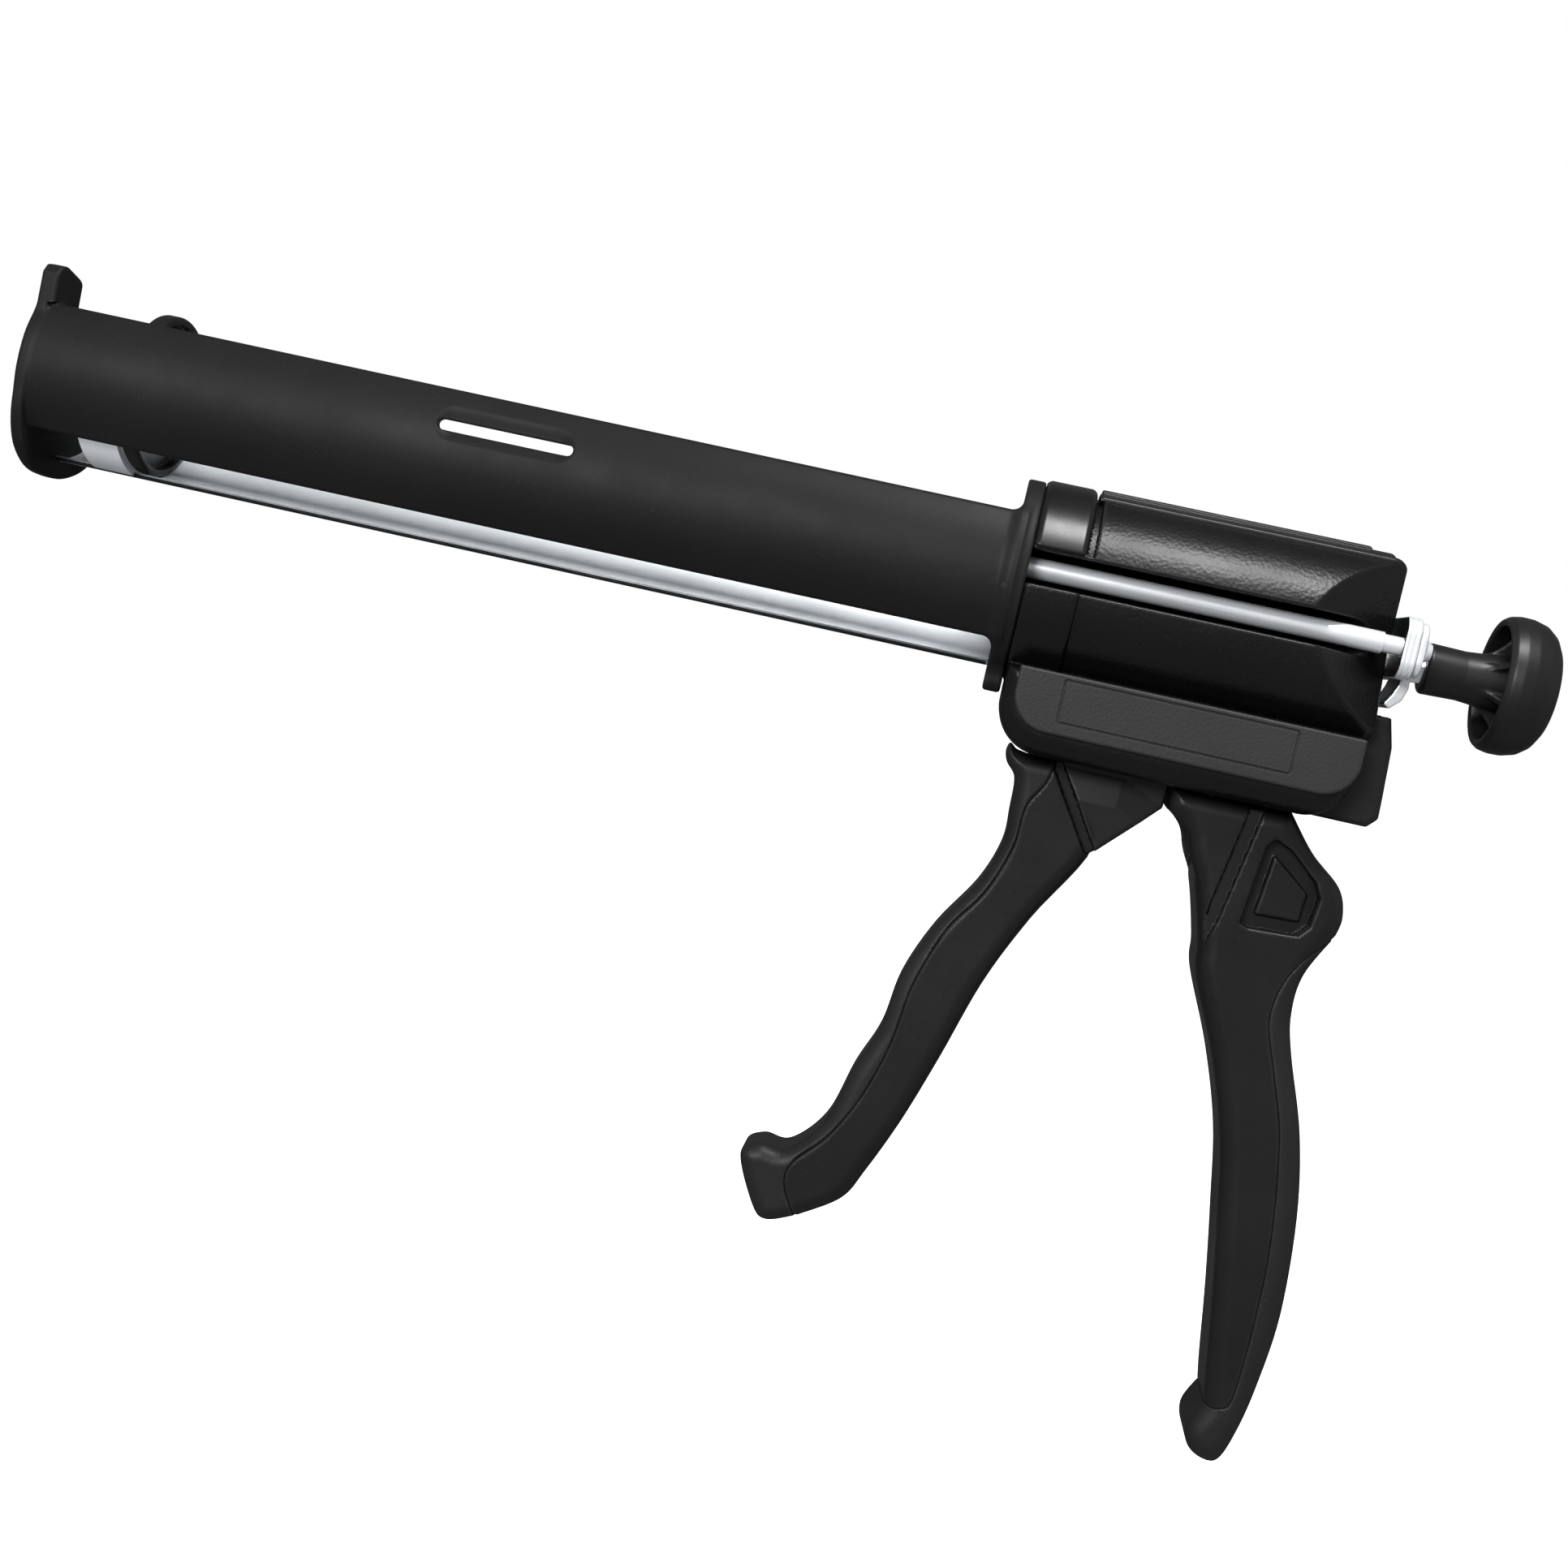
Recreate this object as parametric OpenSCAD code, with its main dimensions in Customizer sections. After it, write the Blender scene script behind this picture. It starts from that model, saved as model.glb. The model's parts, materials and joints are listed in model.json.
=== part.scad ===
// Two-handled cartridge (caulking) gun. X runs along the barrel from the nozzle end (-X) to the
// pull knob (+X), Z is up and the handles hang down. The origin is on the barrel axis, on the
// front face of the carrier's rear flange.

/* [Carrier] */
// Length of the cartridge bay between the front plate and the rear flange
bay_len = 281.5; // [270:0.5:290]
// Outer radius of the moulded side wall
wall_r = 28.5; // [28:0.1:29]
// Thickness of the moulded side wall
wall_t = 3.1; // [2.4:0.1:3.1]
// How far the side wall reaches above and below the barrel axis
wall_h = 17.5; // [14:0.5:18]
// Radius of the front plate
plate_r = 30.6; // [29.5:0.1:32]
// Thickness of the front plate
plate_t = 4; // [3.5:0.1:6]
// Radius of the nozzle slot in the front plate
nozzle_r = 9.6; // [8:0.1:9.6]
// Inner radius of the steel trough that carries the cartridge
trough_r = 24; // [23.8:0.1:24.1]
// Sheet thickness of the steel trough
trough_t = 1.2; // [0.8:0.1:1.2]

/* [Housing] */
// Length of the drive housing along the barrel
body_len = 100.8; // [100:0.1:100.8]
// Radius of the barrel-shaped upper housing
body_r = 27.9; // [27.5:0.1:28.1]
// Half width of the lower housing, without its side panels
low_w = 23.5; // [22:0.1:24]
// Underside of the lower housing
low_z = -46.5; // [-46.5:0.1:-46]
// Thickness of each raised side panel
panel_t = 1.5; // [1:0.1:2.5]

/* [Drive] */
// Radius of the drive rod
rod_r = 4; // [3.5:0.1:4]
// Radius of each guide rod
guide_r = 3; // [2.5:0.1:3]
// Distance of each guide rod from the middle plane
guide_y = 17; // [16.5:0.1:17.2]
// Height of the guide rods above the barrel axis
guide_z = 3.5; // [3:0.1:4]
// Radius of the open channel that each guide rod runs in
channel_r = 4.75; // [4:0.05:4.75]
// Running clearance of a rod in its guide
run = 0.06; // [0.02:0.01:0.1]
// Radius of the plunger
plunger_r = 23.6; // [22:0.1:23.6]

/* [Handles] */
// Half width of the rear grip
grip_w = 13.5; // [12:0.1:15]
// Half width of the trigger
trigger_w = 10.5; // [9.5:0.1:12]
// Radius of the trigger's pivot pin
pivot_r = 2.5; // [2:0.1:3]
// Radius of the pull knob
knob_r = 19.2; // [17:0.1:21]

/* [Hidden] */
$fn = 48;

black = [0.10, 0.10, 0.105];
black_soft = [0.16, 0.16, 0.165];
black_panel = [0.22, 0.22, 0.225];
zinc = [0.80, 0.83, 0.86];
steel = [0.66, 0.68, 0.70];

plate_x0 = -bay_len - plate_t;
flange_t = 5;
flange_r = 28.9;
flange_top = 28.1;
strap_r = 29.2;
rail_r = 29;
rail_top_r = 29.6;
body_x0 = flange_t;
body_x1 = body_x0 + body_len;
front_wall_x = 13;
mid_wall_x0 = 73.5;
mid_wall_x1 = 77.5;
rear_wall_x = 95.5;
low_x1 = 103.5;
panel_z = -23;
panel_r = 13;
trigger_axis = [49.5, -34];
release_axis = [96.5, -41];
roller_at = [54.85, -13];
roller_r = 3.5;
cup_x0 = -256.4;
cup_x1 = -251.4;
bridge_x0 = -254.4;
bridge_x1 = -251.8;
yoke_x0 = 107.2;
yoke_x1 = 111.2;
nut_x0 = 113.4;
knob_x0 = 117.3;
knob_x1 = 153.4;
screw_at = [[26, 15], [80, 15], [26, -15.5], [68, -15.5], [84.6, -104], [107.9, -196]];
screw_y = [16, 16, 15, 15, 8, 8];

// Outlines of the handles, in X and Z, listed from the top down
trigger_front = [[11.6, -47], [15.4, -55.6], [15.2, -63.5], [15.2, -73.2], [11, -85.6],
  [1.8, -100.8], [-4.5, -116.8], [-6.9, -132.7], [-11.9, -146.2], [-16.6, -162.9], [-25.4, -173.2],
  [-33.3, -173.4], [-38.2, -178], [-31.4, -192.2], [-26.6, -195.2], [-18.6, -192]];
trigger_seam = [[24.8, -46.6], [23.3, -53.6], [19.3, -61.5], [18.4, -73.4], [13.4, -87.8],
  [5.5, -100.2], [-0.4, -118], [-2.8, -135.9], [-7.7, -152.9], [-14.6, -166.4], [-22.6, -175.9],
  [-23.6, -182.9], [-18.6, -191.9]];
trigger_rear = [[26.8, -46.6], [32.8, -55.6], [40.4, -68.2], [27.8, -92.2], [18.8, -112.9],
  [11.7, -136.9], [5.1, -157.3], [-1.7, -174], [-6.8, -183.7], [-18.6, -192]];
grip_front = [[57.2, -46.5], [57.4, -53], [61.2, -56.2], [63.8, -59.3], [65.8, -64.8], [69.9, -73],
  [74, -87.6], [75.7, -96.9], [85.1, -117.9], [92.6, -139.8], [97.1, -162.5], [101.1, -185.5],
  [104.2, -206.6], [105.6, -214.6]];
grip_seam = [[110, -77.9], [100.5, -89.2], [97.4, -103.2], [102.4, -119.1], [108.1, -137.1],
  [112.7, -170.3], [112.6, -207.8], [109.2, -214.4], [102.7, -214.4]];
grip_foot = [[105.6, -214.6], [102.4, -222], [104, -228.2], [108.7, -231], [113.3, -229.9],
  [116.4, -221.2], [118.9, -206.9], [120.6, -185], [118.6, -157.1], [113.9, -134], [106.4, -112.5],
  [103.8, -101.6], [104.4, -90.3], [110.2, -77.9]];
grip_back = [[110.2, -77.9], [111, -71.9], [108.2, -64.3], [99, -56.5], [90.7, -46.5]];

function unit(v) = v / norm(v);
function curve_at(a, b, c, d, t) =
  0.5 * (2 * b + (c - a) * t + (2 * a - 5 * b + 4 * c - d) * t * t + (3 * b - a - 3 * c + d) * t * t * t);
// Smooth open curve through the points, with n steps between each two
function smooth(p, n = 3) = [
  for (i = [0 : len(p) - 2], k = [0 : n - 1])
    curve_at(p[max(i - 1, 0)], p[i], p[i + 1], p[min(i + 2, len(p) - 1)], k / n),
  p[len(p) - 1]];
function backwards(p) = [for (i = [len(p) - 1 : -1 : 0]) p[i]];
function trimmed(p) = [for (i = [1 : len(p) - 2]) p[i]];
// Closed outline, its front edge listed downwards first, moved inwards by d
function inset(p, d) = [
  for (i = [0 : len(p) - 1])
    let (n = len(p), t = unit(p[(i + 1) % n] - p[(i + n - 1) % n])) p[i] + d * [-t[1], t[0]]];
function grip_outline() = concat(smooth(grip_front), trimmed(smooth(grip_foot)), smooth(grip_back));
function trigger_outline() = concat(smooth(trigger_front), trimmed(backwards(smooth(trigger_rear))));
function arc(c, r, a0, a1, n = 6) = [for (i = [0 : n]) c + r * [cos(a0 + (a1 - a0) * i / n),
  sin(a0 + (a1 - a0) * i / n)]];

module xcyl(r, x0, x1, y = 0, z = 0) {
  translate([x0, y, z]) rotate([0, 90, 0]) cylinder(r = r, h = x1 - x0);
}
module ycyl(r, at, y0, y1) {
  translate([at[0], y0, at[1]]) rotate([-90, 0, 0]) cylinder(r = r, h = y1 - y0);
}
// Outline in X and Z, standing from y0 to y1
module slab(p, y0, y1) {
  translate([0, y1, 0]) rotate([90, 0, 0]) linear_extrude(y1 - y0) polygon(p);
}
// Outline in Y and Z, standing from x0 to x1
module sheet(p, x0, x1) {
  translate([x0, 0, 0]) rotate([90, 0, 90]) linear_extrude(x1 - x0) polygon(p);
}
// Outline in radius and X, turned about the barrel axis
module turned(p) {
  rotate([0, 90, 0]) rotate_extrude() polygon(p);
}
module box(x0, x1, y0, y1, z0, z1) {
  translate([x0, y0, z0]) cube([x1 - x0, y1 - y0, z1 - z0]);
}
// Closed outline with its rims stepped back, half width w
module handle(p, w) {
  for (s = [[0.74, 0], [0.9, 0.6], [1, 1.3]]) slab(inset(p, s[1]), -w * s[0], w * s[0]);
}
// Side wall of the carrier: the part of a tube within the wall's height, on the near side
module near_wall(r0, r1, x0, x1) {
  intersection() {
    difference() {
      xcyl(r1, x0, x1);
      xcyl(r0, x0 - 1, x1 + 1);
    }
    box(x0, x1, -40, -12, -wall_h, wall_h);
  }
}
// Wedge about the barrel axis between two angles, counted from straight down towards +Y
module wedge(a0, a1, x0, x1) {
  pts = [for (i = [0 : 4]) let (a = a0 + (a1 - a0) * i / 4) [45 * sin(a), -45 * cos(a)]];
  sheet(concat([[0, 0]], pts), x0, x1);
}
module hex(af, x0, x1) {
  translate([x0, 0, 0]) rotate([0, 90, 0]) rotate([0, 0, 30])
    cylinder(r = af / sqrt(3), h = x1 - x0, $fn = 6);
}
// Coil about the barrel axis: n turns of wire of radius w from x0 to x1
module coil(r, w, x0, x1, turns) {
  ring = 14;
  sides = 8;
  count = turns * ring;
  pts = [for (i = [0 : count], k = [0 : sides - 1])
    let (a = 360 * i / ring, b = 360 * k / sides, q = r + w * cos(b))
      [x0 + w + (x1 - x0 - 2 * w) * i / count + w * sin(b), q * cos(a), q * sin(a)]];
  skin = [for (i = [0 : count - 1], k = [0 : sides - 1])
    let (m = (k + 1) % sides)
      [i * sides + k, i * sides + m, (i + 1) * sides + m, (i + 1) * sides + k]];
  first = [[for (k = [sides - 1 : -1 : 0]) k]];
  last = [[for (k = [0 : sides - 1]) count * sides + k]];
  polyhedron(points = pts, faces = concat(skin, first, last), convexity = 6);
}
module guide_channels(x0, x1) {
  for (s = [-1, 1]) {
    xcyl(channel_r, x0, x1, s * guide_y, guide_z);
    box(x0, x1, s > 0 ? guide_y : -40, s > 0 ? 40 : -guide_y,
      guide_z - channel_r, guide_z + channel_r);
  }
}
module guide_holes(x0, x1, r) {
  for (s = [-1, 1]) xcyl(r, x0, x1, s * guide_y, guide_z);
}

module front_plate() {
  far_half = [[nozzle_r, 0], [plate_r - 1, 0], [plate_r - 3, 12], [nozzle_r + 2, 12],
    [nozzle_r, 10]];
  ear = [[-24.5, 8], [-9.8, 8], [-9.8, 25.8], [-11.4, 27.8], [-20.4, 29.3], [-23.5, 28.4], [-24.5, 26]];
  horn = [[-24.5, 18.7], [-9.8, 18.7], [-9.8, 25.8], [-11.4, 27.8], [-20.4, 29.3], [-23.5, 28.4],
    [-24.5, 26]];
  color(black) difference() {
    union() {
      turned([[0, plate_x0], [plate_r - 1.6, plate_x0], [plate_r, plate_x0 + 1.6],
        [plate_r, -bay_len - 1], [plate_r - 1, -bay_len], [0, -bay_len]]);
      sheet(ear, plate_x0, -bay_len);
      sheet(horn, plate_x0, -bay_len + 1.8);
    }
    xcyl(nozzle_r, plate_x0 - 1, -bay_len + 1);
    box(plate_x0 - 1, -bay_len + 1, -nozzle_r, 40, 0, 40);
  }
  color(black) intersection() {
    sheet(far_half, plate_x0, -bay_len);
    xcyl(plate_r, plate_x0, -bay_len);
  }
}

module rear_flange() {
  tab = [[-14, -18], [-14, -29.5], [-11.5, -32], [11.5, -32], [14, -29.5], [14, -18]];
  color(black) difference() {
    union() {
      xcyl(flange_r, 0, flange_t);
      sheet(tab, 0, flange_t);
    }
    xcyl(8, -1, flange_t + 1);
    guide_holes(-1, flange_t + 1, guide_r + run);
    box(-1, flange_t + 1, -20, 20, flange_top, 40);
  }
}

module carrier_wall() {
  slot_x0 = -163;
  slot_x1 = -123;
  slot_z = 7.4;
  dish_r = 5.5;
  color(black) difference() {
    union() {
      near_wall(wall_r - wall_t, wall_r, -bay_len, 0);
      intersection() {
        turned([[25.4, -6], [wall_r, -6], [flange_r, 0], [25.4, 0]]);
        box(-7, 0, -40, -12, -wall_h - 1.5, wall_h + 1.5);
      }
    }
    translate([slot_x0 + dish_r, -wall_r - 2.2, slot_z + 2.8]) sphere(r = dish_r);
    translate([slot_x1 - dish_r, -wall_r - 2.2, slot_z + 2.8]) sphere(r = dish_r);
    xcyl(dish_r, slot_x0 + dish_r, slot_x1 - dish_r, -wall_r - 2.2, slot_z + 2.8);
    ycyl(1.4, [slot_x0 + 2.4, slot_z], -40, -12);
    ycyl(1.4, [slot_x1 - 2.4, slot_z], -40, -12);
    box(slot_x0 + 2.4, slot_x1 - 2.4, -40, -12, slot_z - 1.4, slot_z + 1.4);
  }
}

module trough() {
  far_edge = 99;
  near_edge = -10;
  band_edge = -52;
  color(zinc) {
    intersection() {
      difference() {
        xcyl(trough_r + trough_t, -bay_len, 0);
        xcyl(trough_r, -bay_len - 1, 1);
      }
      union() {
        wedge(near_edge, far_edge, -bay_len, 0);
        wedge(band_edge, 0, -268.5, -256.5);
      }
    }
  }
}

// Lower housing block with round lower corners, half width w, stepped in by d
module low_block(w, d) {
  x0 = body_x0 + 0.6 + d;
  x1 = low_x1 - d;
  z0 = low_z + d;
  r = panel_r - d;
  box(x0, x1, -w, w, z0 + r, panel_z);
  box(x0 + r, x1 - r, -w, w, z0, z0 + r + 1);
  for (x = [x0 + r, x1 - r]) ycyl(r, [x, z0 + r], -w, w);
}

module housing_solid() {
  round_r = 3;
  turned(concat([[0, body_x0], [body_r, body_x0]],
    [for (p = arc([body_r - round_r, body_x1 - round_r], round_r, 0, 90)) p],
    [[0, body_x1]]));
  low_block(low_w, 4.2);
  low_block(low_w - 1.6, 2);
  low_block(low_w - 4, 0.7);
  low_block(low_w - 7, 0);
  intersection() {
    turned([[15, body_x0], [strap_r, body_x0], [strap_r, 19.3], [strap_r - 1.2, 20.5], [15, 20.5]]);
    box(body_x0, 20.5, -40, 40, panel_z, guide_z);
  }
}

// Cutter that takes away everything beyond a slanting plane
module slant(at, turn, lean) {
  translate(at) rotate([0, lean, turn]) translate([0, -60, -60]) cube([60, 120, 120]);
}

module housing_cuts() {
  guide_channels(body_x0 - 1, body_x1 + 1);
  for (s = [-1, 1]) {
    intersection() {
      slant([82.2, s * 26.2, 0], s * 52.4, 0);
      box(60, 120, -40, 40, guide_z, 40);
    }
    intersection() {
      slant([83, s * body_r, 0], s * 50.2, -17.7);
      box(60, 120, -40, 40, panel_z, guide_z);
    }
  }
  xcyl(8, body_x0 - 1, front_wall_x + 1);
  xcyl(7, rear_wall_x - 1, body_x1 + 1);
  xcyl(rod_r + 1, mid_wall_x0 - 1, mid_wall_x1 + 1);
  box(front_wall_x, mid_wall_x0, -11, 11, -21, 17);
  box(mid_wall_x1, rear_wall_x, -11, 11, -22, 17);
  box(18, 72, -8.4, 8.4, low_z - 1, -20);
  box(89.5, body_x1 + 1, -9.8, 9.8, low_z - 1, -13.5);
  ycyl(pivot_r, trigger_axis, -21, 21);
  ycyl(1.5, release_axis, -17, 17);
  for (i = [0 : 3]) screw_hole(i);
}

module screw_hole(i) {
  ycyl(1.45, screw_at[i], -12, 40);
  ycyl(3.3, screw_at[i], screw_y[i] - 0.1, 40);
}

module housing_left() {
  color(black) difference() {
    housing_solid();
    housing_cuts();
    box(-1, 200, 0, 60, -80, 60);
  }
}

module housing_right() {
  color(black) difference() {
    housing_solid();
    housing_cuts();
    box(-1, 200, -60, 0, -80, 60);
  }
}

module front_collar() {
  color(black) difference() {
    turned([[body_r, body_x0], [strap_r, body_x0], [strap_r, 18], [strap_r - 1, 19.5], [body_r, 19.5]]);
    box(0, 30, -40, 40, -40, guide_z + channel_r + 0.6);
  }
}

module top_rail() {
  color(black) intersection() {
    union() {
      turned([[body_r, 19.7], [rail_r, 19.7], [rail_r, 101], [body_r, 102.6]]);
      intersection() {
        turned([[body_r + 0.5, 19.7], [rail_top_r, 19.7], [rail_top_r, 94.5], [body_r + 0.5, 96.5]]);
        box(10, 110, -7, 7, 20, 40);
      }
    }
    box(10, 110, -11, 11, 20, 40);
  }
}

module side_panel(s) {
  x0 = body_x0 + 0.6;
  x1 = low_x1;
  z0 = -42.8;
  r = 10;
  y0 = s > 0 ? low_w : -low_w - panel_t;
  y1 = y0 + panel_t;
  groove_y0 = s > 0 ? y1 - 0.5 : y0 - 1;
  groove_y1 = s > 0 ? y1 + 1 : y0 + 0.5;
  color(black_panel) difference() {
    union() {
      box(x0, x1, y0, y1, z0 + r, panel_z);
      box(x0 + r, x1 - r, y0, y1, z0, z0 + r + 1);
      for (x = [x0 + r, x1 - r]) ycyl(r, [x, z0 + r], y0, y1);
    }
    difference() {
      box(21.5, 85.5, groove_y0, groove_y1, -36.5, -24.2);
      box(22.1, 84.9, groove_y0 - 1, groove_y1 + 1, -35.9, -24.8);
    }
  }
}

module bushing(r, x0, x1) {
  color(steel) difference() {
    xcyl(r, x0, x1);
    xcyl(rod_r + run, x0 - 1, x1 + 1);
  }
}

// Everything behind and below the seam between the grip's two materials
module grip_pad_side() {
  slab(concat([[126, -66]], smooth(grip_seam), [[94, -216], [90, -245], [140, -245], [140, -66]]), -20, 20);
}

module grip_core() {
  pocket = [[83.5, -79.5], [85.8, -57.2], [87.7, -54.8], [92.7, -56.8], [101, -64], [103, -68.1],
    [102, -76.3], [99.3, -79.5], [85.9, -80.3]];
  boss = [[87, -76.4], [88.8, -59.2], [99.8, -67.8], [99.4, -75.9]];
  rib = [[79.4, -46], [83.4, -46], [77.6, -80], [75.2, -88.5], [73.6, -87], [74.6, -75]];
  color(black) difference() {
    handle(grip_outline(), grip_w);
    grip_pad_side();
    box(50, 69, -8.4, 8.4, -73, -40);
    for (s = [-1, 1]) {
      y0 = s > 0 ? grip_w - 1.6 : -40;
      y1 = s > 0 ? 40 : 1.6 - grip_w;
      slab(rib, y0, y1);
      difference() {
        slab(pocket, s > 0 ? grip_w - 4.5 : -40, s > 0 ? 40 : 4.5 - grip_w);
        slab(boss, s > 0 ? 0 : 2.6 - grip_w, s > 0 ? grip_w - 2.6 : 0);
      }
    }
    for (i = [4, 5]) {
      ycyl(1.45, screw_at[i], -8, 40);
      ycyl(3.3, screw_at[i], screw_y[i] - 0.1, 40);
    }
  }
}

module grip_pad() {
  color(black_soft) intersection() {
    handle(grip_outline(), grip_w - 0.3);
    grip_pad_side();
  }
}

module trigger_pin() {
  color(steel) ycyl(pivot_r, trigger_axis, -21, 21);
}

module release_pin() {
  color(steel) ycyl(1.5, release_axis, -17, 17);
}

module screw(i) {
  y = screw_y[i];
  color(steel) difference() {
    union() {
      ycyl(3, screw_at[i], y, y + 2);
      ycyl(1.4, screw_at[i], i > 3 ? -7 : -11, y + 1);
    }
    ycyl(1.1, screw_at[i], y + 0.8, y + 3, $fn = 6);
  }
}

module drive_rod() {
  color(steel) {
    xcyl(2.8, cup_x0 - 5.5, cup_x0 + 1);
    xcyl(rod_r, cup_x0 + 1, yoke_x0);
    xcyl(3, yoke_x0, 130);
  }
}

module plunger_cup() {
  color(black) difference() {
    turned([[0, cup_x0], [plunger_r - 2, cup_x0], [plunger_r, cup_x0 + 2], [plunger_r, cup_x1 - 0.6],
      [plunger_r - 0.6, cup_x1], [plunger_r - 2, cup_x1], [plunger_r - 2.4, bridge_x0],
      [0, bridge_x0]]);
    xcyl(2.8, cup_x0 - 1, cup_x0 + 1);
    xcyl(rod_r, cup_x0 + 1, bridge_x0 + 1);
  }
}

module plunger_bridge() {
  color(steel) difference() {
    intersection() {
      sheet([[-20.5, -3], [-17, -5], [17, -5], [20.5, -3], [20.5, 8], [16, 10.5], [-16, 10.5],
        [-20.5, 8]], bridge_x0, bridge_x1);
      xcyl(plunger_r - 2.7, bridge_x0, bridge_x1);
    }
    xcyl(rod_r, bridge_x0 - 1, bridge_x1 + 1);
    guide_holes(bridge_x0 - 1, bridge_x1 + 1, 2);
  }
}

module plunger_nut() {
  color(zinc) difference() {
    union() {
      xcyl(9, cup_x0 - 1, cup_x0);
      hex(10, cup_x0 - 4.5, cup_x0 - 0.5);
    }
    xcyl(2.8, cup_x0 - 6, cup_x0 + 1);
  }
}

module guide_rod(s) {
  shoulder = 102;
  color(zinc) {
    xcyl(2, bridge_x0, bridge_x1 + 1, s * guide_y, guide_z);
    xcyl(guide_r, bridge_x1, shoulder, s * guide_y, guide_z);
    xcyl(2.5, shoulder - 1, yoke_x0, s * guide_y, guide_z);
    xcyl(2, yoke_x0 - 1, yoke_x1, s * guide_y, guide_z);
  }
}

module rear_yoke() {
  r = 5;
  y = 20.5;
  z0 = -5;
  z1 = 12;
  color(zinc) difference() {
    union() {
      box(yoke_x0, yoke_x1, r - y, y - r, z0, z1);
      box(yoke_x0, yoke_x1, -y, y, z0 + r, z1 - r);
      for (s = [-1, 1], z = [z0 + r, z1 - r]) xcyl(r, yoke_x0, yoke_x1, s * (y - r), z);
    }
    xcyl(3, yoke_x0 - 1, yoke_x1 + 1);
    guide_holes(yoke_x0 - 1, yoke_x1 + 1, 2);
  }
}

module yoke_tail() {
  tail = [[yoke_x1, -3], [nut_x0, -3], [nut_x0, -7], [112, -10.3], [109.4, -13.2],
    [108, -12.2], [110.2, -9.3], [yoke_x1, -6.8]];
  color(zinc) difference() {
    union() {
      slab(tail, -8, 8);
      xcyl(8, yoke_x1, nut_x0);
      box(yoke_x1, nut_x0, -15, 15, -4, 11);
      box(yoke_x1, nut_x0, -19.5, 19.5, 0.5, 6.5);
      for (s = [-1, 1], z = [0.5, 6.5]) xcyl(4.5, yoke_x1, nut_x0, s * 15, z);
    }
    xcyl(3, yoke_x1 - 1, nut_x0 + 1);
  }
}

module yoke_rivet(s) {
  color(zinc) translate([nut_x0, s * guide_y, guide_z]) rotate([0, 90, 0])
    cylinder(r1 = 3.2, r2 = 2.2, h = 1.6);
}

module rod_nut() {
  color(zinc) difference() {
    hex(9, nut_x0, knob_x0);
    xcyl(3, nut_x0 - 1, knob_x0 + 1);
  }
}

module knob() {
  stem_r = 7.2;
  rim_x = 134;
  cap_floor = 145;
  color(black) difference() {
    union() {
      turned([[0, knob_x0], [stem_r - 0.8, knob_x0], [stem_r, knob_x0 + 0.8], [stem_r - 0.5, 128],
        [8.4, cap_floor - 1], [8.4, cap_floor], [0, cap_floor]]);
      turned([[knob_r - 3.2, rim_x], [knob_r - 1.2, rim_x + 0.6], [knob_r - 0.2, rim_x + 3.5],
        [knob_r, 140], [knob_r - 0.2, 144], [knob_r - 1.5, 148], [16, 150.5], [11.5, 152.6],
        [7, knob_x1 - 0.2],
        [0, knob_x1], [0, cap_floor - 0.5], [knob_r - 4.2, cap_floor - 0.5], [knob_r - 3.6, 140]]);
      for (i = [0 : 5]) rotate([60 * i, 0, 0])
        slab([[126, 5.5], [130, 7.6], [134, 11], [136.5, knob_r - 3.4], [cap_floor, knob_r - 3.4],
          [cap_floor, 5.5]], -1.1, 1.1);
    }
    xcyl(3, knob_x0 - 1, 130);
  }
}

module trigger_head() {
  head = [[26.2, -46.8], [29, -44], [40, -40], [43, -30], [52.6, -19], [53.4, -11], [55, -9.3],
    [58, -10.5], [59, -14], [57.6, -30], [56.8, -46], [56.4, -53.6], [54.5, -55.5], [40.4, -70],
    [36, -68], [30, -56]];
  difference() {
    slab(head, -7.6, 7.6);
    ycyl(roller_r + 0.6, roller_at, -4.3, 4.3);
    box(49, 62, -4.3, 4.3, -18, -5);
    ycyl(1.5, roller_at, -10, 10);
  }
}

// Everything in front of the seam between the trigger's two materials
module trigger_pad_side() {
  slab(concat(smooth(trigger_seam), [[-17, -210], [-60, -210], [-60, -40], [25.6, -40]]), -20, 20);
}

module trigger_core() {
  color(black) difference() {
    union() {
      trigger_head();
      difference() {
        handle(trigger_outline(), trigger_w);
        trigger_pad_side();
      }
    }
    ycyl(pivot_r + run, trigger_axis, -20, 20);
  }
}

module trigger_pad() {
  color(black_soft) intersection() {
    handle(trigger_outline(), trigger_w - 0.3);
    trigger_pad_side();
  }
}

module trigger_roller() {
  color(steel) difference() {
    ycyl(roller_r, roller_at, -4, 4);
    ycyl(1.5, roller_at, -5, 5);
  }
}

module roller_pin() {
  color(steel) ycyl(1.5, roller_at, -7.6, 7.6);
}

module drive_plate(x0, x1) {
  color(zinc) difference() {
    box(x0, x1, -9, 9, -16.5, 15);
    xcyl(rod_r + 0.3, x0 - 1, x1 + 1);
  }
}

module brake_plate() {
  color(zinc) difference() {
    box(91.5, 94, -9, 9, -20.5, 15);
    xcyl(rod_r + 0.7, 90, 95);
  }
}

module release_lever() {
  pad = [[104.8, -17], [106, -15.6], [110.3, -15], [112.4, -23.5], [113.5, -38],
    [114, -43.5], [111.2, -46.3], [93.5, -46.3], [91.8, -44], [91.8, -38.5], [93.5, -36.5],
    [101, -36.5], [103.5, -34]];
  color(black) difference() {
    union() {
      slab(pad, -9, 9);
      slab([[94.2, -18.5], [94.2, -22], [104, -27], [105.5, -27], [105.5, -18.5]], -3, 3);
    }
    ycyl(1.5 + run, release_axis, -20, 20);
  }
}

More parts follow.
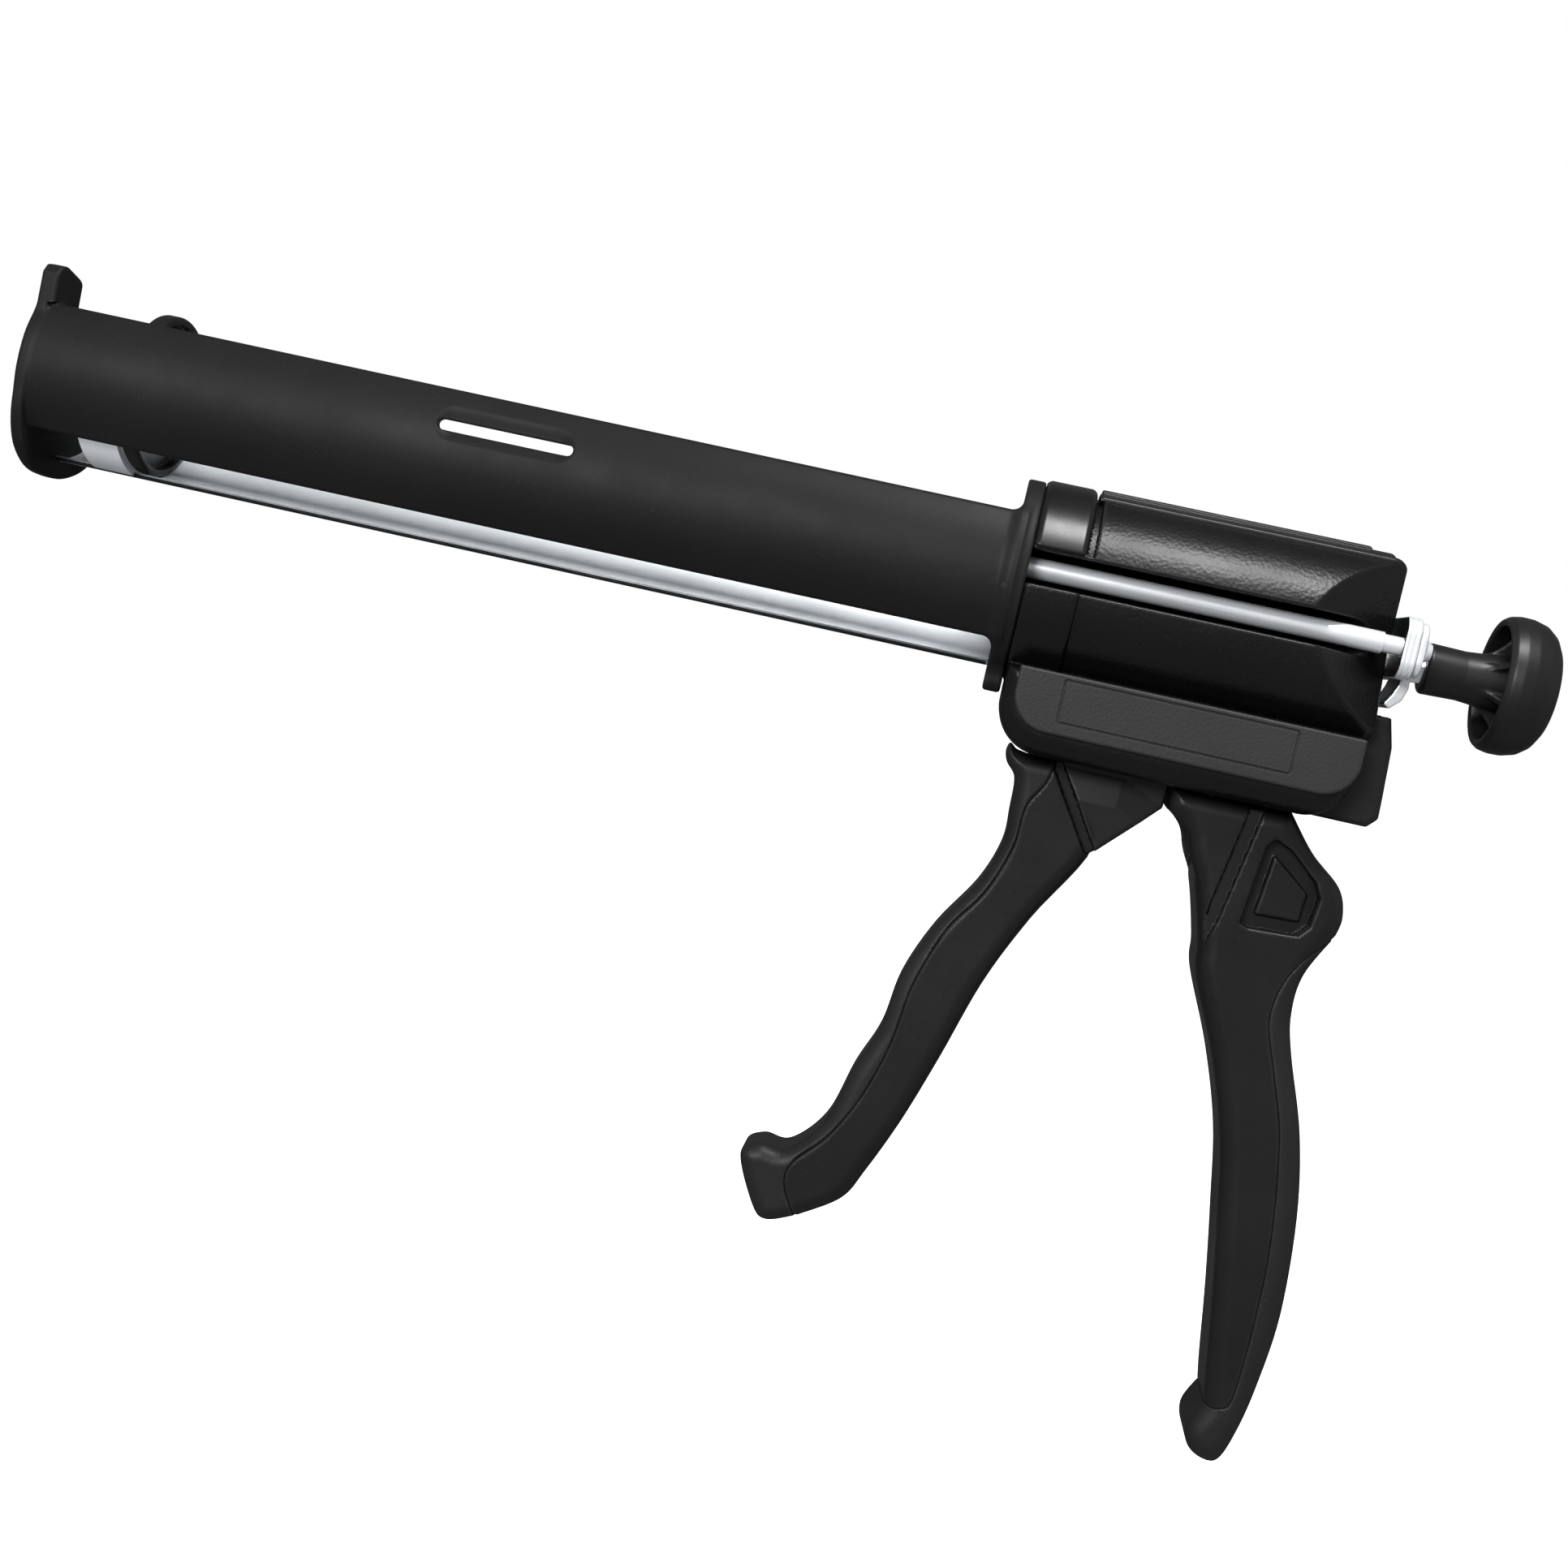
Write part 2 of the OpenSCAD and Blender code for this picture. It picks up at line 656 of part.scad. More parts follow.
carrier_wall();
front_plate();
rear_flange();
trough();
housing_left();
housing_right();
front_collar();
top_rail();
side_panel(-1);  // side_panel_left
side_panel(1);  // side_panel_right
bushing(8, 0, front_wall_x);  // front_bushing
bushing(7, rear_wall_x, body_x1);  // rear_bushing
grip_core();
grip_pad();
trigger_pin();
release_pin();
screw(0);  // screw_1
screw(1);  // screw_2
screw(2);  // screw_3
screw(3);  // screw_4
screw(4);  // screw_5
screw(5);  // screw_6
drive_rod();
plunger_cup();
plunger_bridge();
plunger_nut();
guide_rod(-1);  // guide_rod_left
guide_rod(1);  // guide_rod_right
rear_yoke();
yoke_tail();
yoke_rivet(-1);  // yoke_rivet_left
yoke_rivet(1);  // yoke_rivet_right
rod_nut();
knob();
trigger_core();
trigger_pad();
trigger_roller();
roller_pin();
drive_plate(47, 49);  // drive_plate_front
drive_plate(49.2, 51.2);  // drive_plate_rear
color(steel) coil(6.8, 0.7, 13.3, 46.8, 9);  // drive_spring
brake_plate();
color(steel) coil(6.8, 0.6, 77.8, 91.3, 5);  // brake_spring
release_lever();
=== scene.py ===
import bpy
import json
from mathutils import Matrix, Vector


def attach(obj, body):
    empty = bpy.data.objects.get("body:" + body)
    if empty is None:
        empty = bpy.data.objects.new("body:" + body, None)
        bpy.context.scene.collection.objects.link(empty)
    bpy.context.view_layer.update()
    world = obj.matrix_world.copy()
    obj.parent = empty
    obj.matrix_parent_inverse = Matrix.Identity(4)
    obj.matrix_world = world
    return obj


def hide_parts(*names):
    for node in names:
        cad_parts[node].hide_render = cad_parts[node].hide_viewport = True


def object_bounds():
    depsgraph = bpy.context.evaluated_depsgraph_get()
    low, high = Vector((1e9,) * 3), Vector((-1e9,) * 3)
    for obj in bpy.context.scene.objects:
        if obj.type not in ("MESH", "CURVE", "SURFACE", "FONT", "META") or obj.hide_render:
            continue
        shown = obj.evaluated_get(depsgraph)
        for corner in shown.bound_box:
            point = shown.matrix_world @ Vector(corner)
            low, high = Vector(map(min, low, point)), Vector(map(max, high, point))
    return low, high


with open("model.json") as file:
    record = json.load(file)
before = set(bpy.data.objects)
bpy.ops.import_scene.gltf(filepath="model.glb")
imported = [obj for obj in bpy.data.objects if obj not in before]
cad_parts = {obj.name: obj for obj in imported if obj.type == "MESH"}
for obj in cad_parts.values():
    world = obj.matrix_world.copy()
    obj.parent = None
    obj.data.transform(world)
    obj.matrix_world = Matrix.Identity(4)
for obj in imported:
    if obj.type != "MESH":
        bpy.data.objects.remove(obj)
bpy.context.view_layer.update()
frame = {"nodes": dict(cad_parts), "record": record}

import json
import math

import bpy
import numpy as np
from mathutils import Matrix, Vector

MM = 0.001                      # metres in a millimetre


# ---------------------------------------------------------------- solid fields, in millimetres
def meet(a, b, r=0.0):
    """Where both solids are, with an edge of radius r."""
    if r <= 0:
        return np.maximum(a, b)
    return np.minimum(np.maximum(a, b), -r) + np.hypot(np.maximum(a + r, 0), np.maximum(b + r, 0))


def join(a, b, r=0.0):
    """Both solids, with a fillet of radius r between them."""
    return -meet(-a, -b, r)


def cut(a, b, r=0.0):
    """The first solid without the second, with rims of radius r."""
    return meet(a, -b, r)


def span(v, lo, hi):
    """Distance to the slab between lo and hi."""
    return np.abs(v - (lo + hi) / 2) - (hi - lo) / 2


def ring(u, v, radius, at):
    """Distance to a round bar about at."""
    return np.hypot(u - at[0], v - at[1]) - radius


def bar(u, v, a, b, radius):
    """Distance to the line from a to b, thickened to radius."""
    dx, dy = b[0] - a[0], b[1] - a[1]
    t = np.clip(((u - a[0]) * dx + (v - a[1]) * dy) / (dx * dx + dy * dy), 0, 1)
    return np.hypot(u - a[0] - t * dx, v - a[1] - t * dy) - radius


def brick(u, v, lo, hi, r):
    """Rectangle with round corners."""
    a = np.abs(u - (lo[0] + hi[0]) / 2) - (hi[0] - lo[0]) / 2 + r
    b = np.abs(v - (lo[1] + hi[1]) / 2) - (hi[1] - lo[1]) / 2 + r
    return np.hypot(np.maximum(a, 0), np.maximum(b, 0)) + np.minimum(np.maximum(a, b), 0) - r


def smooth(points, n=6):
    """Smooth open curve through the points, n steps from one to the next (Catmull-Rom)."""
    p = np.array(points, float)
    out = []
    for i in range(len(p) - 1):
        a, b, c, d = p[max(i - 1, 0)], p[i], p[i + 1], p[min(i + 2, len(p) - 1)]
        for t in np.arange(n) / n:
            square = (2 * a - 5 * b + 4 * c - d) * t**2
            cube = (3 * b - a - 3 * c + d) * t**3
            out.append(0.5 * (2 * b + (c - a) * t + square + cube))
    return out + [p[-1]]


class Outline:
    """Signed distance to a closed outline, sampled once on a fine grid and read between its points.

    Each pass of soften blurs the samples a little, which rounds the corners.
    """

    def __init__(self, points, step=0.4, margin=7.0, soften=0):
        p = np.array(points, float)
        self.lo = p.min(0) - margin
        n = np.ceil((p.max(0) + margin - self.lo) / step).astype(int) + 1
        u = self.lo[0] + step * np.arange(n[0])[:, None]
        v = self.lo[1] + step * np.arange(n[1])[None, :]
        best = np.full((n[0], n[1]), 1e9)
        inside = np.zeros((n[0], n[1]), bool)
        for a, b in zip(p, np.roll(p, -1, axis=0)):
            d = b - a
            length2 = d @ d
            if length2 < 1e-9:              # two points in one place
                continue
            t = np.clip(((u - a[0]) * d[0] + (v - a[1]) * d[1]) / length2, 0, 1)
            best = np.minimum(best, (u - a[0] - t * d[0]) ** 2 + (v - a[1] - t * d[1]) ** 2)
            if d[1] != 0:
                crosses = (a[1] <= v) != (b[1] <= v)
                inside ^= crosses & (u < a[0] + (v - a[1]) / d[1] * d[0])
        g = np.sqrt(best) * np.where(inside, -1, 1)
        for _ in range(soften):
            middle = g[1:-1, 1:-1] * 4 + g[:-2, 1:-1] + g[2:, 1:-1]
            g[1:-1, 1:-1] = (middle + g[1:-1, :-2] + g[1:-1, 2:]) / 8
        self.g, self.step, self.n = g, step, n

    def __call__(self, u, v):
        last = self.n - 1.001               # just short of the last sample
        s = np.clip((u - self.lo[0]) / self.step, 0, last[0])
        t = np.clip((v - self.lo[1]) / self.step, 0, last[1])
        i, j = s.astype(int), t.astype(int)
        s, t = s - i, t - j
        g = self.g
        low = g[i, j] * (1 - s) + g[i + 1, j] * s
        high = g[i, j + 1] * (1 - s) + g[i + 1, j + 1] * s
        return low * (1 - t) + high * t


def ticks(*runs):
    """Grid lines: (start, step) pairs, ending with a bare stop."""
    out = []
    for (start, step), after in zip(runs[:-1], runs[1:]):
        stop = after[0] if isinstance(after, tuple) else after
        count = max(1, round((stop - start) / step))
        out += list(start + (stop - start) * np.arange(count) / count)
    return np.array(out + [runs[-1]], float)


PROBE = 0.03                    # how far apart a field is sampled for its slope
PULLS = 4                       # how often the points are pulled onto the surface
REACH = 0.6                     # how far a point may be pulled, in cells
FLATTEST = 0.05                 # least square of a slope, so that no pull is wild
CORNERS = [(i, j, k) for i in (0, 1) for j in (0, 1) for k in (0, 1)]


def sample(field, p, e=PROBE):
    """Value and slope of a field at points."""
    def at(dx, dy, dz):
        return np.asarray(field(p[:, 0] + dx, p[:, 1] + dy, p[:, 2] + dz), float)
    along = [at(e, 0, 0) - at(-e, 0, 0), at(0, e, 0) - at(0, -e, 0), at(0, 0, e) - at(0, 0, -e)]
    return at(0, 0, 0), np.stack(along, 1) / (2 * e)


def crossings(d, axes, cells):
    """One point for each cell that the surface passes through: the mean of its crossings of the edges."""
    place, count = np.zeros((len(cells[0]), 3)), np.zeros(len(cells[0]))
    for a in CORNERS:
        for b in CORNERS:
            if sum(b) - sum(a) != 1 or any(q < p for p, q in zip(a, b)):
                continue
            at = [tuple(c + o for c, o in zip(cells, p)) for p in (a, b)]
            da, db = d[at[0]].astype(float), d[at[1]].astype(float)
            m = (da < 0) != (db < 0)
            t = (da / np.where(m, da - db, 1))[:, None]
            pa, pb = (np.stack([axis[i] for axis, i in zip(axes, p)], 1) for p in at)
            place += np.where(m[:, None], pa + t * (pb - pa), 0)
            count += m
    return place / count[:, None]


def faces(solid, index):
    """Quads between the four cells round every grid edge that the surface crosses, wound outwards."""
    quads = []
    for axis in range(3):
        u, v = (axis + 1) % 3, (axis + 2) % 3
        first, second = [slice(None)] * 3, [slice(None)] * 3
        first[axis], second[axis] = slice(0, -1), slice(1, None)
        a, b = solid[tuple(first)], solid[tuple(second)]
        edge = np.array(np.nonzero(a != b)).T
        inner = (edge[:, u] > 0) & (edge[:, v] > 0)
        edge = edge[inner & (edge[:, u] < index.shape[u]) & (edge[:, v] < index.shape[v])]
        out = a[tuple(edge.T)]
        loop = []
        for du, dv in ((-1, -1), (0, -1), (0, 0), (-1, 0)):
            cell = edge.copy()
            cell[:, u] += du
            cell[:, v] += dv
            loop.append(index[tuple(cell.T)])
        loop = np.stack(loop, 1)
        loop[~out] = loop[~out][:, ::-1]
        quads.append(loop)
    return np.concatenate(quads)


def skin(field, xs, ys, zs):
    """Points, quads and normals of the surface where the field is zero, on a grid of unequal steps."""
    d = field(xs[:, None, None], ys[None, :, None], zs[None, None, :])
    d = np.broadcast_to(d, (len(xs), len(ys), len(zs)))
    solid = d < 0
    total = sum(solid[i:i + len(xs) - 1, j:j + len(ys) - 1, k:k + len(zs) - 1].astype(np.int8)
                for i, j, k in CORNERS)
    cells = np.nonzero((total > 0) & (total < len(CORNERS)))
    index = np.full(total.shape, -1)
    index[cells] = np.arange(len(cells[0]))
    axes = (xs, ys, zs)
    start = crossings(d, axes, cells)
    size = np.stack([np.diff(axis)[c] for axis, c in zip(axes, cells)], 1)
    place = start
    for _ in range(PULLS):
        value, slope = sample(field, place)
        steepness = np.maximum((slope**2).sum(1), FLATTEST)[:, None]
        place = place - value[:, None] * slope / steepness
        place = np.clip(place, start - REACH * size, start + REACH * size)
    normal = sample(field, place)[1]
    normal /= np.maximum(np.linalg.norm(normal, axis=1), 1e-6)[:, None]
    return place, faces(solid, index), normal


def add_mesh(name, points, quads, normals):
    """A smooth-shaded object from points in millimetres."""
    mesh = bpy.data.meshes.new(name)
    mesh.vertices.add(len(points))
    mesh.vertices.foreach_set("co", (points * MM).astype(np.float32).ravel())
    mesh.loops.add(quads.size)
    mesh.loops.foreach_set("vertex_index", quads.astype(np.int32).ravel())
    mesh.polygons.add(len(quads))
    starts = np.arange(len(quads), dtype=np.int32) * quads.shape[1]
    mesh.polygons.foreach_set("loop_start", starts)
    mesh.polygons.foreach_set("use_smooth", np.ones(len(quads), bool))
    mesh.update(calc_edges=True)
    mesh.validate()
    mesh.normals_split_custom_set_from_vertices(normals.tolist())
    obj = bpy.data.objects.new(name, mesh)
    bpy.context.scene.collection.objects.link(obj)
    return obj


def settle(obj, body, nodes, material):
    """Paints a piece, sets it on its body and hides the CAD nodes that it stands for."""
    obj.data.materials.append(material)
    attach(obj, body)
    if nodes:
        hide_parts(*nodes)
    return obj


def piece(name, field, xs, ys, zs, body, nodes, material):
    """A moulded or pressed piece. xs, ys and zs are the grid's ticks."""
    obj = add_mesh(name, *skin(field, ticks(*xs), ticks(*ys), ticks(*zs)))
    return settle(obj, body, nodes, material)


def mirrored(names, field, xs, ys, zs, nodes, material):
    """The frame's piece on the near side, where y is below 0, and its mirror image on the far side."""
    points, quads, normals = skin(field, ticks(*xs), ticks(*ys), ticks(*zs))
    for name, stands_for, side in zip(names, nodes, (1, -1)):
        flip = np.array([1, side, 1])
        obj = add_mesh(name, points * flip, quads if side > 0 else quads[:, ::-1], normals * flip)
        settle(obj, "frame", [stands_for], material)


# ---------------------------------------------------------------- materials
def shader(name):
    m = bpy.data.materials.new(name)
    m.use_nodes = True
    tree = m.node_tree
    return m, tree, tree.nodes["Principled BSDF"]


def node(tree, kind, links=(), **values):
    """Adds a node. links are (input, output socket) pairs; a value named in_X sets the input X."""
    n = tree.nodes.new(kind)
    for key, value in values.items():
        if key.startswith("in_"):
            n.inputs[int(key[3:]) if key[3:].isdigit() else key[3:].replace("_", " ")].default_value = value
        else:
            setattr(n, key, value)
    for to, source in links:
        tree.links.new(source, n.inputs[to])
    return n


def coords(tree, stretch=(1, 1, 1)):
    place = node(tree, "ShaderNodeTexCoord").outputs["Object"]
    return node(tree, "ShaderNodeMapping", [("Vector", place)], in_Scale=stretch).outputs["Vector"]


def noise(tree, scale, detail=3.0, rough=0.55, stretch=(1, 1, 1)):
    return node(tree, "ShaderNodeTexNoise", [("Vector", coords(tree, stretch))], in_Scale=scale,
                in_Detail=detail, in_Roughness=rough).outputs["Fac"]


def between(tree, source, lo, hi, out_lo, out_hi):
    """Maps lo..hi to out_lo..out_hi, and stays at the ends beyond them."""
    return node(tree, "ShaderNodeMapRange", [("Value", source)],
                in_1=lo, in_2=hi, in_3=out_lo, in_4=out_hi).outputs[0]


def spread(tree, source, out_lo, out_hi):
    """Maps noise, which mostly lies between 0.3 and 0.7."""
    return between(tree, source, 0.3, 0.7, out_lo, out_hi)


def maths(tree, operation, a, b):
    """A Math node. a and b are sockets or numbers."""
    links = [(i, s) for i, s in enumerate((a, b)) if not isinstance(s, (int, float))]
    n = node(tree, "ShaderNodeMath", links, operation=operation)
    for i, s in enumerate((a, b)):
        if isinstance(s, (int, float)):
            n.inputs[i].default_value = s
    return n.outputs[0]


MIX_A, MIX_B, MIXED = 6, 7, 2       # the Mix node's sockets for colours


def tint(tree, factor, a, b):
    """From colour a to colour b."""
    n = node(tree, "ShaderNodeMix", [("Factor", factor)], data_type="RGBA")
    n.inputs[MIX_A].default_value, n.inputs[MIX_B].default_value = (*a, 1), (*b, 1)
    return n.outputs[MIXED]


def over(tree, factor, under, top):
    """Colour top over the socket under."""
    n = node(tree, "ShaderNodeMix", [("Factor", factor), (MIX_A, under)], data_type="RGBA")
    n.inputs[MIX_B].default_value = (*top, 1)
    return n.outputs[MIXED]


def bumps(tree, bsdf, layers):
    """Stacks bump layers of (height socket, depth in metres)."""
    last = None
    for height, depth in layers:
        links = [("Height", height)] + ([("Normal", last)] if last else [])
        last = node(tree, "ShaderNodeBump", links, in_Strength=1.0, in_Distance=depth).outputs[0]
    tree.links.new(last, bsdf.inputs["Normal"])


# Noise scales, in waves per metre: of plastic, then of metal.
CLOUDS, WAVES, SHEEN, SCUFFS, DUST, SPECKS = 14, 25, 45, 120, 2600, 3200
PATCHES, SMEARS, DENTS, SPOTS, LINES = 30, 60, 80, 420, 1500
# Bump depths, in metres.
SPECK_DEPTH, WAVE_DEPTH, LINE_DEPTH, DENT_DEPTH = 0.00001, 0.00012, 0.000004, 0.00003
DUST_GREY = (0.16, 0.16, 0.16)
RUBBED_GREY = (0.075, 0.075, 0.078)
RUBBED = 0.25                       # how far the paler colour covers an edge
SPOT_SHADE = 0.45                   # a spot's colour, as a part of the plating's
# near-black colour painted on a sheet's near rim as shade
RIM_SHADE_COLOUR = (0.02, 0.021, 0.023)


def plastic(name, dark, light, rough, specular, grain=0.0, grain_scale=900.0):
    """Black moulded plastic: grain, faint clouds, fine specks of dust, and edges rubbed a little paler.

    grain is its depth in metres, and grain_scale its cells per metre.
    """
    m, tree, bsdf = shader(name)
    colour = tint(tree, spread(tree, noise(tree, CLOUDS, 4, 0.6), 0, 1), dark, light)
    dust = between(tree, noise(tree, DUST, 1, 0.4), 0.70, 0.80, 0, 0.10)
    colour = over(tree, dust, colour, DUST_GREY)
    edges = node(tree, "ShaderNodeNewGeometry").outputs["Pointiness"]
    edges = between(tree, edges, 0.52, 0.60, 0, RUBBED)         # a flat face's pointiness is 0.5
    scuffs = between(tree, noise(tree, SCUFFS, 4), 0.35, 0.7, 0.2, 1)
    colour = over(tree, maths(tree, "MULTIPLY", edges, scuffs), colour, RUBBED_GREY)
    tree.links.new(colour, bsdf.inputs["Base Color"])
    sheen = spread(tree, noise(tree, SHEEN, 5, 0.6), rough - 0.05, rough + 0.06)
    tree.links.new(sheen, bsdf.inputs["Roughness"])
    bsdf.inputs["Specular IOR Level"].default_value = specular
    layers = [(noise(tree, SPECKS, 2, 0.5), SPECK_DEPTH), (noise(tree, WAVES, 2, 0.5), WAVE_DEPTH)]
    if grain:
        cells = node(tree, "ShaderNodeTexVoronoi", [("Vector", coords(tree))], feature="SMOOTH_F1",
                     in_Scale=grain_scale, in_Smoothness=0.35, in_Randomness=1.0).outputs["Distance"]
        layers.insert(0, (cells, grain))
    bumps(tree, bsdf, layers)
    return m


def metal(name, base, other, rough, along=(1, 1, 1), spots=0.0, rim_shade=False, shine=0.5):
    """Plated or drawn steel: fine lines along one direction, patches of tone and small dull spots.

    The narrow faces turned to the near side can be painted near-black: painted shade for the shaded rim of the
    sheet.
    Passivated plating is only partly mirror-like, which shine sets.
    """
    m, tree, bsdf = shader(name)
    colour = tint(tree, spread(tree, noise(tree, PATCHES, 4, 0.6), 0, 1), base, other)
    spot = between(tree, noise(tree, SPOTS, 3, 0.6), 0.66, 0.74, 0, spots)
    colour = over(tree, spot, colour, tuple(c * SPOT_SHADE for c in base))
    # painted shade: faces turned to the near side are coloured near-black
    if rim_shade:
        normal = node(tree, "ShaderNodeNewGeometry").outputs["True Normal"]
        facing = node(tree, "ShaderNodeSeparateXYZ", [("Vector", normal)]).outputs["Y"]
        colour = over(tree, between(tree, facing, -0.92, -0.86, 0.95, 0), colour, RIM_SHADE_COLOUR)
    tree.links.new(colour, bsdf.inputs["Base Color"])
    bsdf.inputs["Metallic"].default_value = shine
    lines = noise(tree, LINES, 3, 0.6, along)
    smears = spread(tree, noise(tree, SMEARS, 4, 0.6), rough - 0.05, rough + 0.07)
    total = maths(tree, "ADD", smears, spread(tree, lines, -0.04, 0.05))
    total = maths(tree, "ADD", total, maths(tree, "MULTIPLY", spot, 0.3))
    tree.links.new(total, bsdf.inputs["Roughness"])
    bumps(tree, bsdf, [(lines, LINE_DEPTH), (noise(tree, DENTS, 2), DENT_DEPTH)])
    return m


SATIN_BLACK = plastic("satin_black", (0.0052, 0.0052, 0.0055), (0.0078, 0.0078, 0.0081), 0.50, specular=0.09)
SMOOTH_BLACK = plastic("smooth_black", (0.0042, 0.0042, 0.0044), (0.0065, 0.0065, 0.0067), 0.38, specular=0.18)
GLOSS_BLACK = plastic("gloss_black", (0.0030, 0.0030, 0.0031), (0.0045, 0.0045, 0.0046), 0.26, specular=0.22)
GRAIN_BLACK = plastic("grained_black", (0.0018, 0.0018, 0.0019), (0.0032, 0.0032, 0.0034), 0.32,
                      grain=0.00006, specular=0.16)
PANEL_BLACK = plastic("panel_black", (0.0125, 0.0125, 0.013), (0.018, 0.018, 0.0185), 0.5,
                      grain=0.00005, grain_scale=1100, specular=0.16)
SOFT_BLACK = plastic("soft_black", (0.0062, 0.0062, 0.0065), (0.0095, 0.0095, 0.0098), 0.48,
                     grain=0.00003, grain_scale=1900, specular=0.18)
DRAWN = (0.02, 1, 1)                # stretches the fine lines along X
ZINC = metal("zinc_plate", (0.64, 0.66, 0.68), (0.56, 0.58, 0.60), 0.30, DRAWN, spots=0.3)
STEEL = metal("drawn_steel", (0.78, 0.79, 0.80), (0.70, 0.71, 0.73), 0.24, DRAWN, spots=0.2)
# the trough's plating, with painted shade on its near rim
SHEET_ZINC = metal("sheet_zinc", (0.88, 0.91, 0.93), (0.81, 0.85, 0.88), 0.34, DRAWN, spots=0.3,
                   rim_shade=True)
# dark steel painted on faces towards the housing, as a painted reflection of the black housing
FRONT_SHADE_STEEL = metal("shaded_steel", (0.055, 0.065, 0.065), (0.035, 0.042, 0.043), 0.34, spots=0.3, shine=1.0)
# near-black steel for the trough's lip: painted shade
RIM_SHADE_STEEL = metal("sheet_rim_shade", (0.012, 0.013, 0.014), (0.008, 0.009, 0.010), 0.42, spots=0.3, shine=1.0)
WIRE = metal("spring_wire", (0.42, 0.42, 0.43), (0.34, 0.34, 0.36), 0.3, spots=0.3)
BRONZE = metal("sintered_bronze", (0.62, 0.46, 0.25), (0.52, 0.37, 0.19), 0.42, spots=0.6)


# ---------------------------------------------------------------- main sizes, in millimetres
PLATE_FRONT, PLATE_BACK = -285.5, -281.5        # the front plate, along X
FLANGE_BACK = 5.0                               # the rear flange's back; its front is at 0
FLANGE_R = 28.9
NECK_R = 9.6                                    # the slot for a cartridge's neck
WALL_R, WALL_HALF = 26.95, 1.55                 # the side wall's middle radius and half its thickness
WALL_TOP, WALL_Y = 17.5, -12                    # it lies between two heights, and nearer than WALL_Y
GUIDE_Y, GUIDE_Z = 17, 3.5                      # the guide rods
BODY_R = 27.9                                   # the housing's upper part
BODY_SHELF = 3.5                                # height at which its slanting rear corner changes
STRAP_R, STRAP_END = 29.2, 19.6                 # the thicker strap round its front
BLOCK_Y, BLOCK_TOP = 23.5, -23.0                # the block below: its half width and its top's height
ROD_R = 8.0                                     # the bore for the drive rod's bushings
PIN_Z = -41                                     # the release pin
NUT_FRONT, NUT_BACK = 113.4, 117.3              # the hexagon nut, along X
YOKE_FRONT, YOKE_BACK = 107.2, 111.2            # the rear yoke's plate, along X


# ---------------------------------------------------------------- carrier
# The front plate and the ear on its top, in the plane of Y and Z.
EAR = Outline([(-24.3, 8), (-9, 8), (-9, 25.8), (-9.6, 26.8), (-11, 27.5), (-18.6, 29.4), (-22.2, 28.9),
               (-24, 26.6)], step=0.3, margin=40, soften=2)
PLATE = Outline(smooth([(-22.6, 17.4), (-26.9, 9.4), (-28.4, 1), (-28.6, -6), (-27.6, -15), (-23.6, -23),
                        (-15.6, -28.7), (-6, -30.5), (4, -30.3), (14, -27.2), (22, -21.3), (27.6, -13.2),
                        (30.3, -4), (30.3, 4), (27.6, 13.2), (22, 21.3), (14, 26.5), (0, 26.5),
                        (-12, 24)]), step=0.3, margin=40, soften=2)


def carrier(x, y, z):
    """Side wall, front plate and rear flange."""
    r = np.hypot(y, z)
    rise = np.clip((-x - 1.0) / 280.0, 0, 1)        # the wall's top edge is 1 mm higher at the front
    wall = meet(np.abs(r - WALL_R) - WALL_HALF, np.maximum(z - WALL_TOP - rise, -WALL_TOP - z), 0.9)
    wall = meet(meet(wall, y - WALL_Y), span(x, -285.4, 1.0))
    seam_line = meet(meet(np.abs(x + 270.5) - 0.35, np.abs(z - 12.5) - 4.5), 28.42 - r)
    wall = cut(wall, seam_line, 0.1)
    face = join(PLATE(y, z), EAR(y, z), 0.7)
    nozzle_slot = np.hypot(y, np.minimum(z, 0)) - NECK_R
    plate = cut(face, nozzle_slot, 1.0)
    low_side = -meet(12 - z, 0.5 - y, 2.5)          # the far side has no ear
    plate = meet(plate, low_side, 2.0)
    plate = meet(plate, span(x, PLATE_FRONT, PLATE_BACK), 1.0)
    horn = meet(meet(EAR(y, z), 18.1 - z), span(x, PLATE_FRONT, -279.7), 1.0)
    plate = np.minimum(plate, horn)
    flange = join(r - FLANGE_R, brick(y, z, (-14, -32), (14, -10), 3.0), 2.0)
    flange = meet(flange, z - 28.0, 0.5)
    for side in (-1, 1):
        flange = cut(flange, ring(y, z, 3.06, (side * GUIDE_Y, GUIDE_Z)), 0.3)
    flange = cut(flange, r - ROD_R)
    flange = meet(flange, span(x, 0.0, FLANGE_BACK), 0.9)
    body = join(meet(join(wall, plate, 1.0), -285.45 - x, 1.6), flange, 3.0)
    dish = np.hypot(bar(x, z, (-157.5, 9.6), (-128.5, 9.6), 0.0), y + 31.2) - 6.0
    body = cut(body, dish, 1.4)
    window = meet(bar(x, z, (-161.0, 7.6), (-125.0, 7.6), 1.5), y - WALL_Y)
    return cut(body, window, 0.5)


piece("carrier_moulding", carrier,
      ((-286.5, 0.5), (-278, 2.2), (-272.5, 0.4), (-268.5, 2.2), (-167, 0.55), (-119, 2.4), (-9, 0.55), 6.5),
      ((-32.5, 0.5), 32.5), ((-33.5, 0.5), 32), "frame", ["carrier_wall", "front_plate", "rear_flange"],
      SATIN_BLACK)


def hem(x, y, z):
    """The lip along the trough's near edge, in near-black steel: a real hem whose dark colour is painted
    shade.
    """
    return meet(np.hypot(y + 4.25, z + 24.62) - 0.5, span(x, -281.2, -0.5), 0.1)


piece("trough_hem", hem, ((-281.8, 0.4), (-280, 4.0), (-1.6, 0.4), 0.2), ((-5.0, 0.16), -3.5),
      ((-25.4, 0.16), -23.9), "frame", [], RIM_SHADE_STEEL)


# ---------------------------------------------------------------- housing
def guide_groove(y, z):
    """The open groove that a guide rod runs in."""
    return np.hypot(np.minimum(np.abs(y) - GUIDE_Y, 0), z - GUIDE_Z) - 4.75


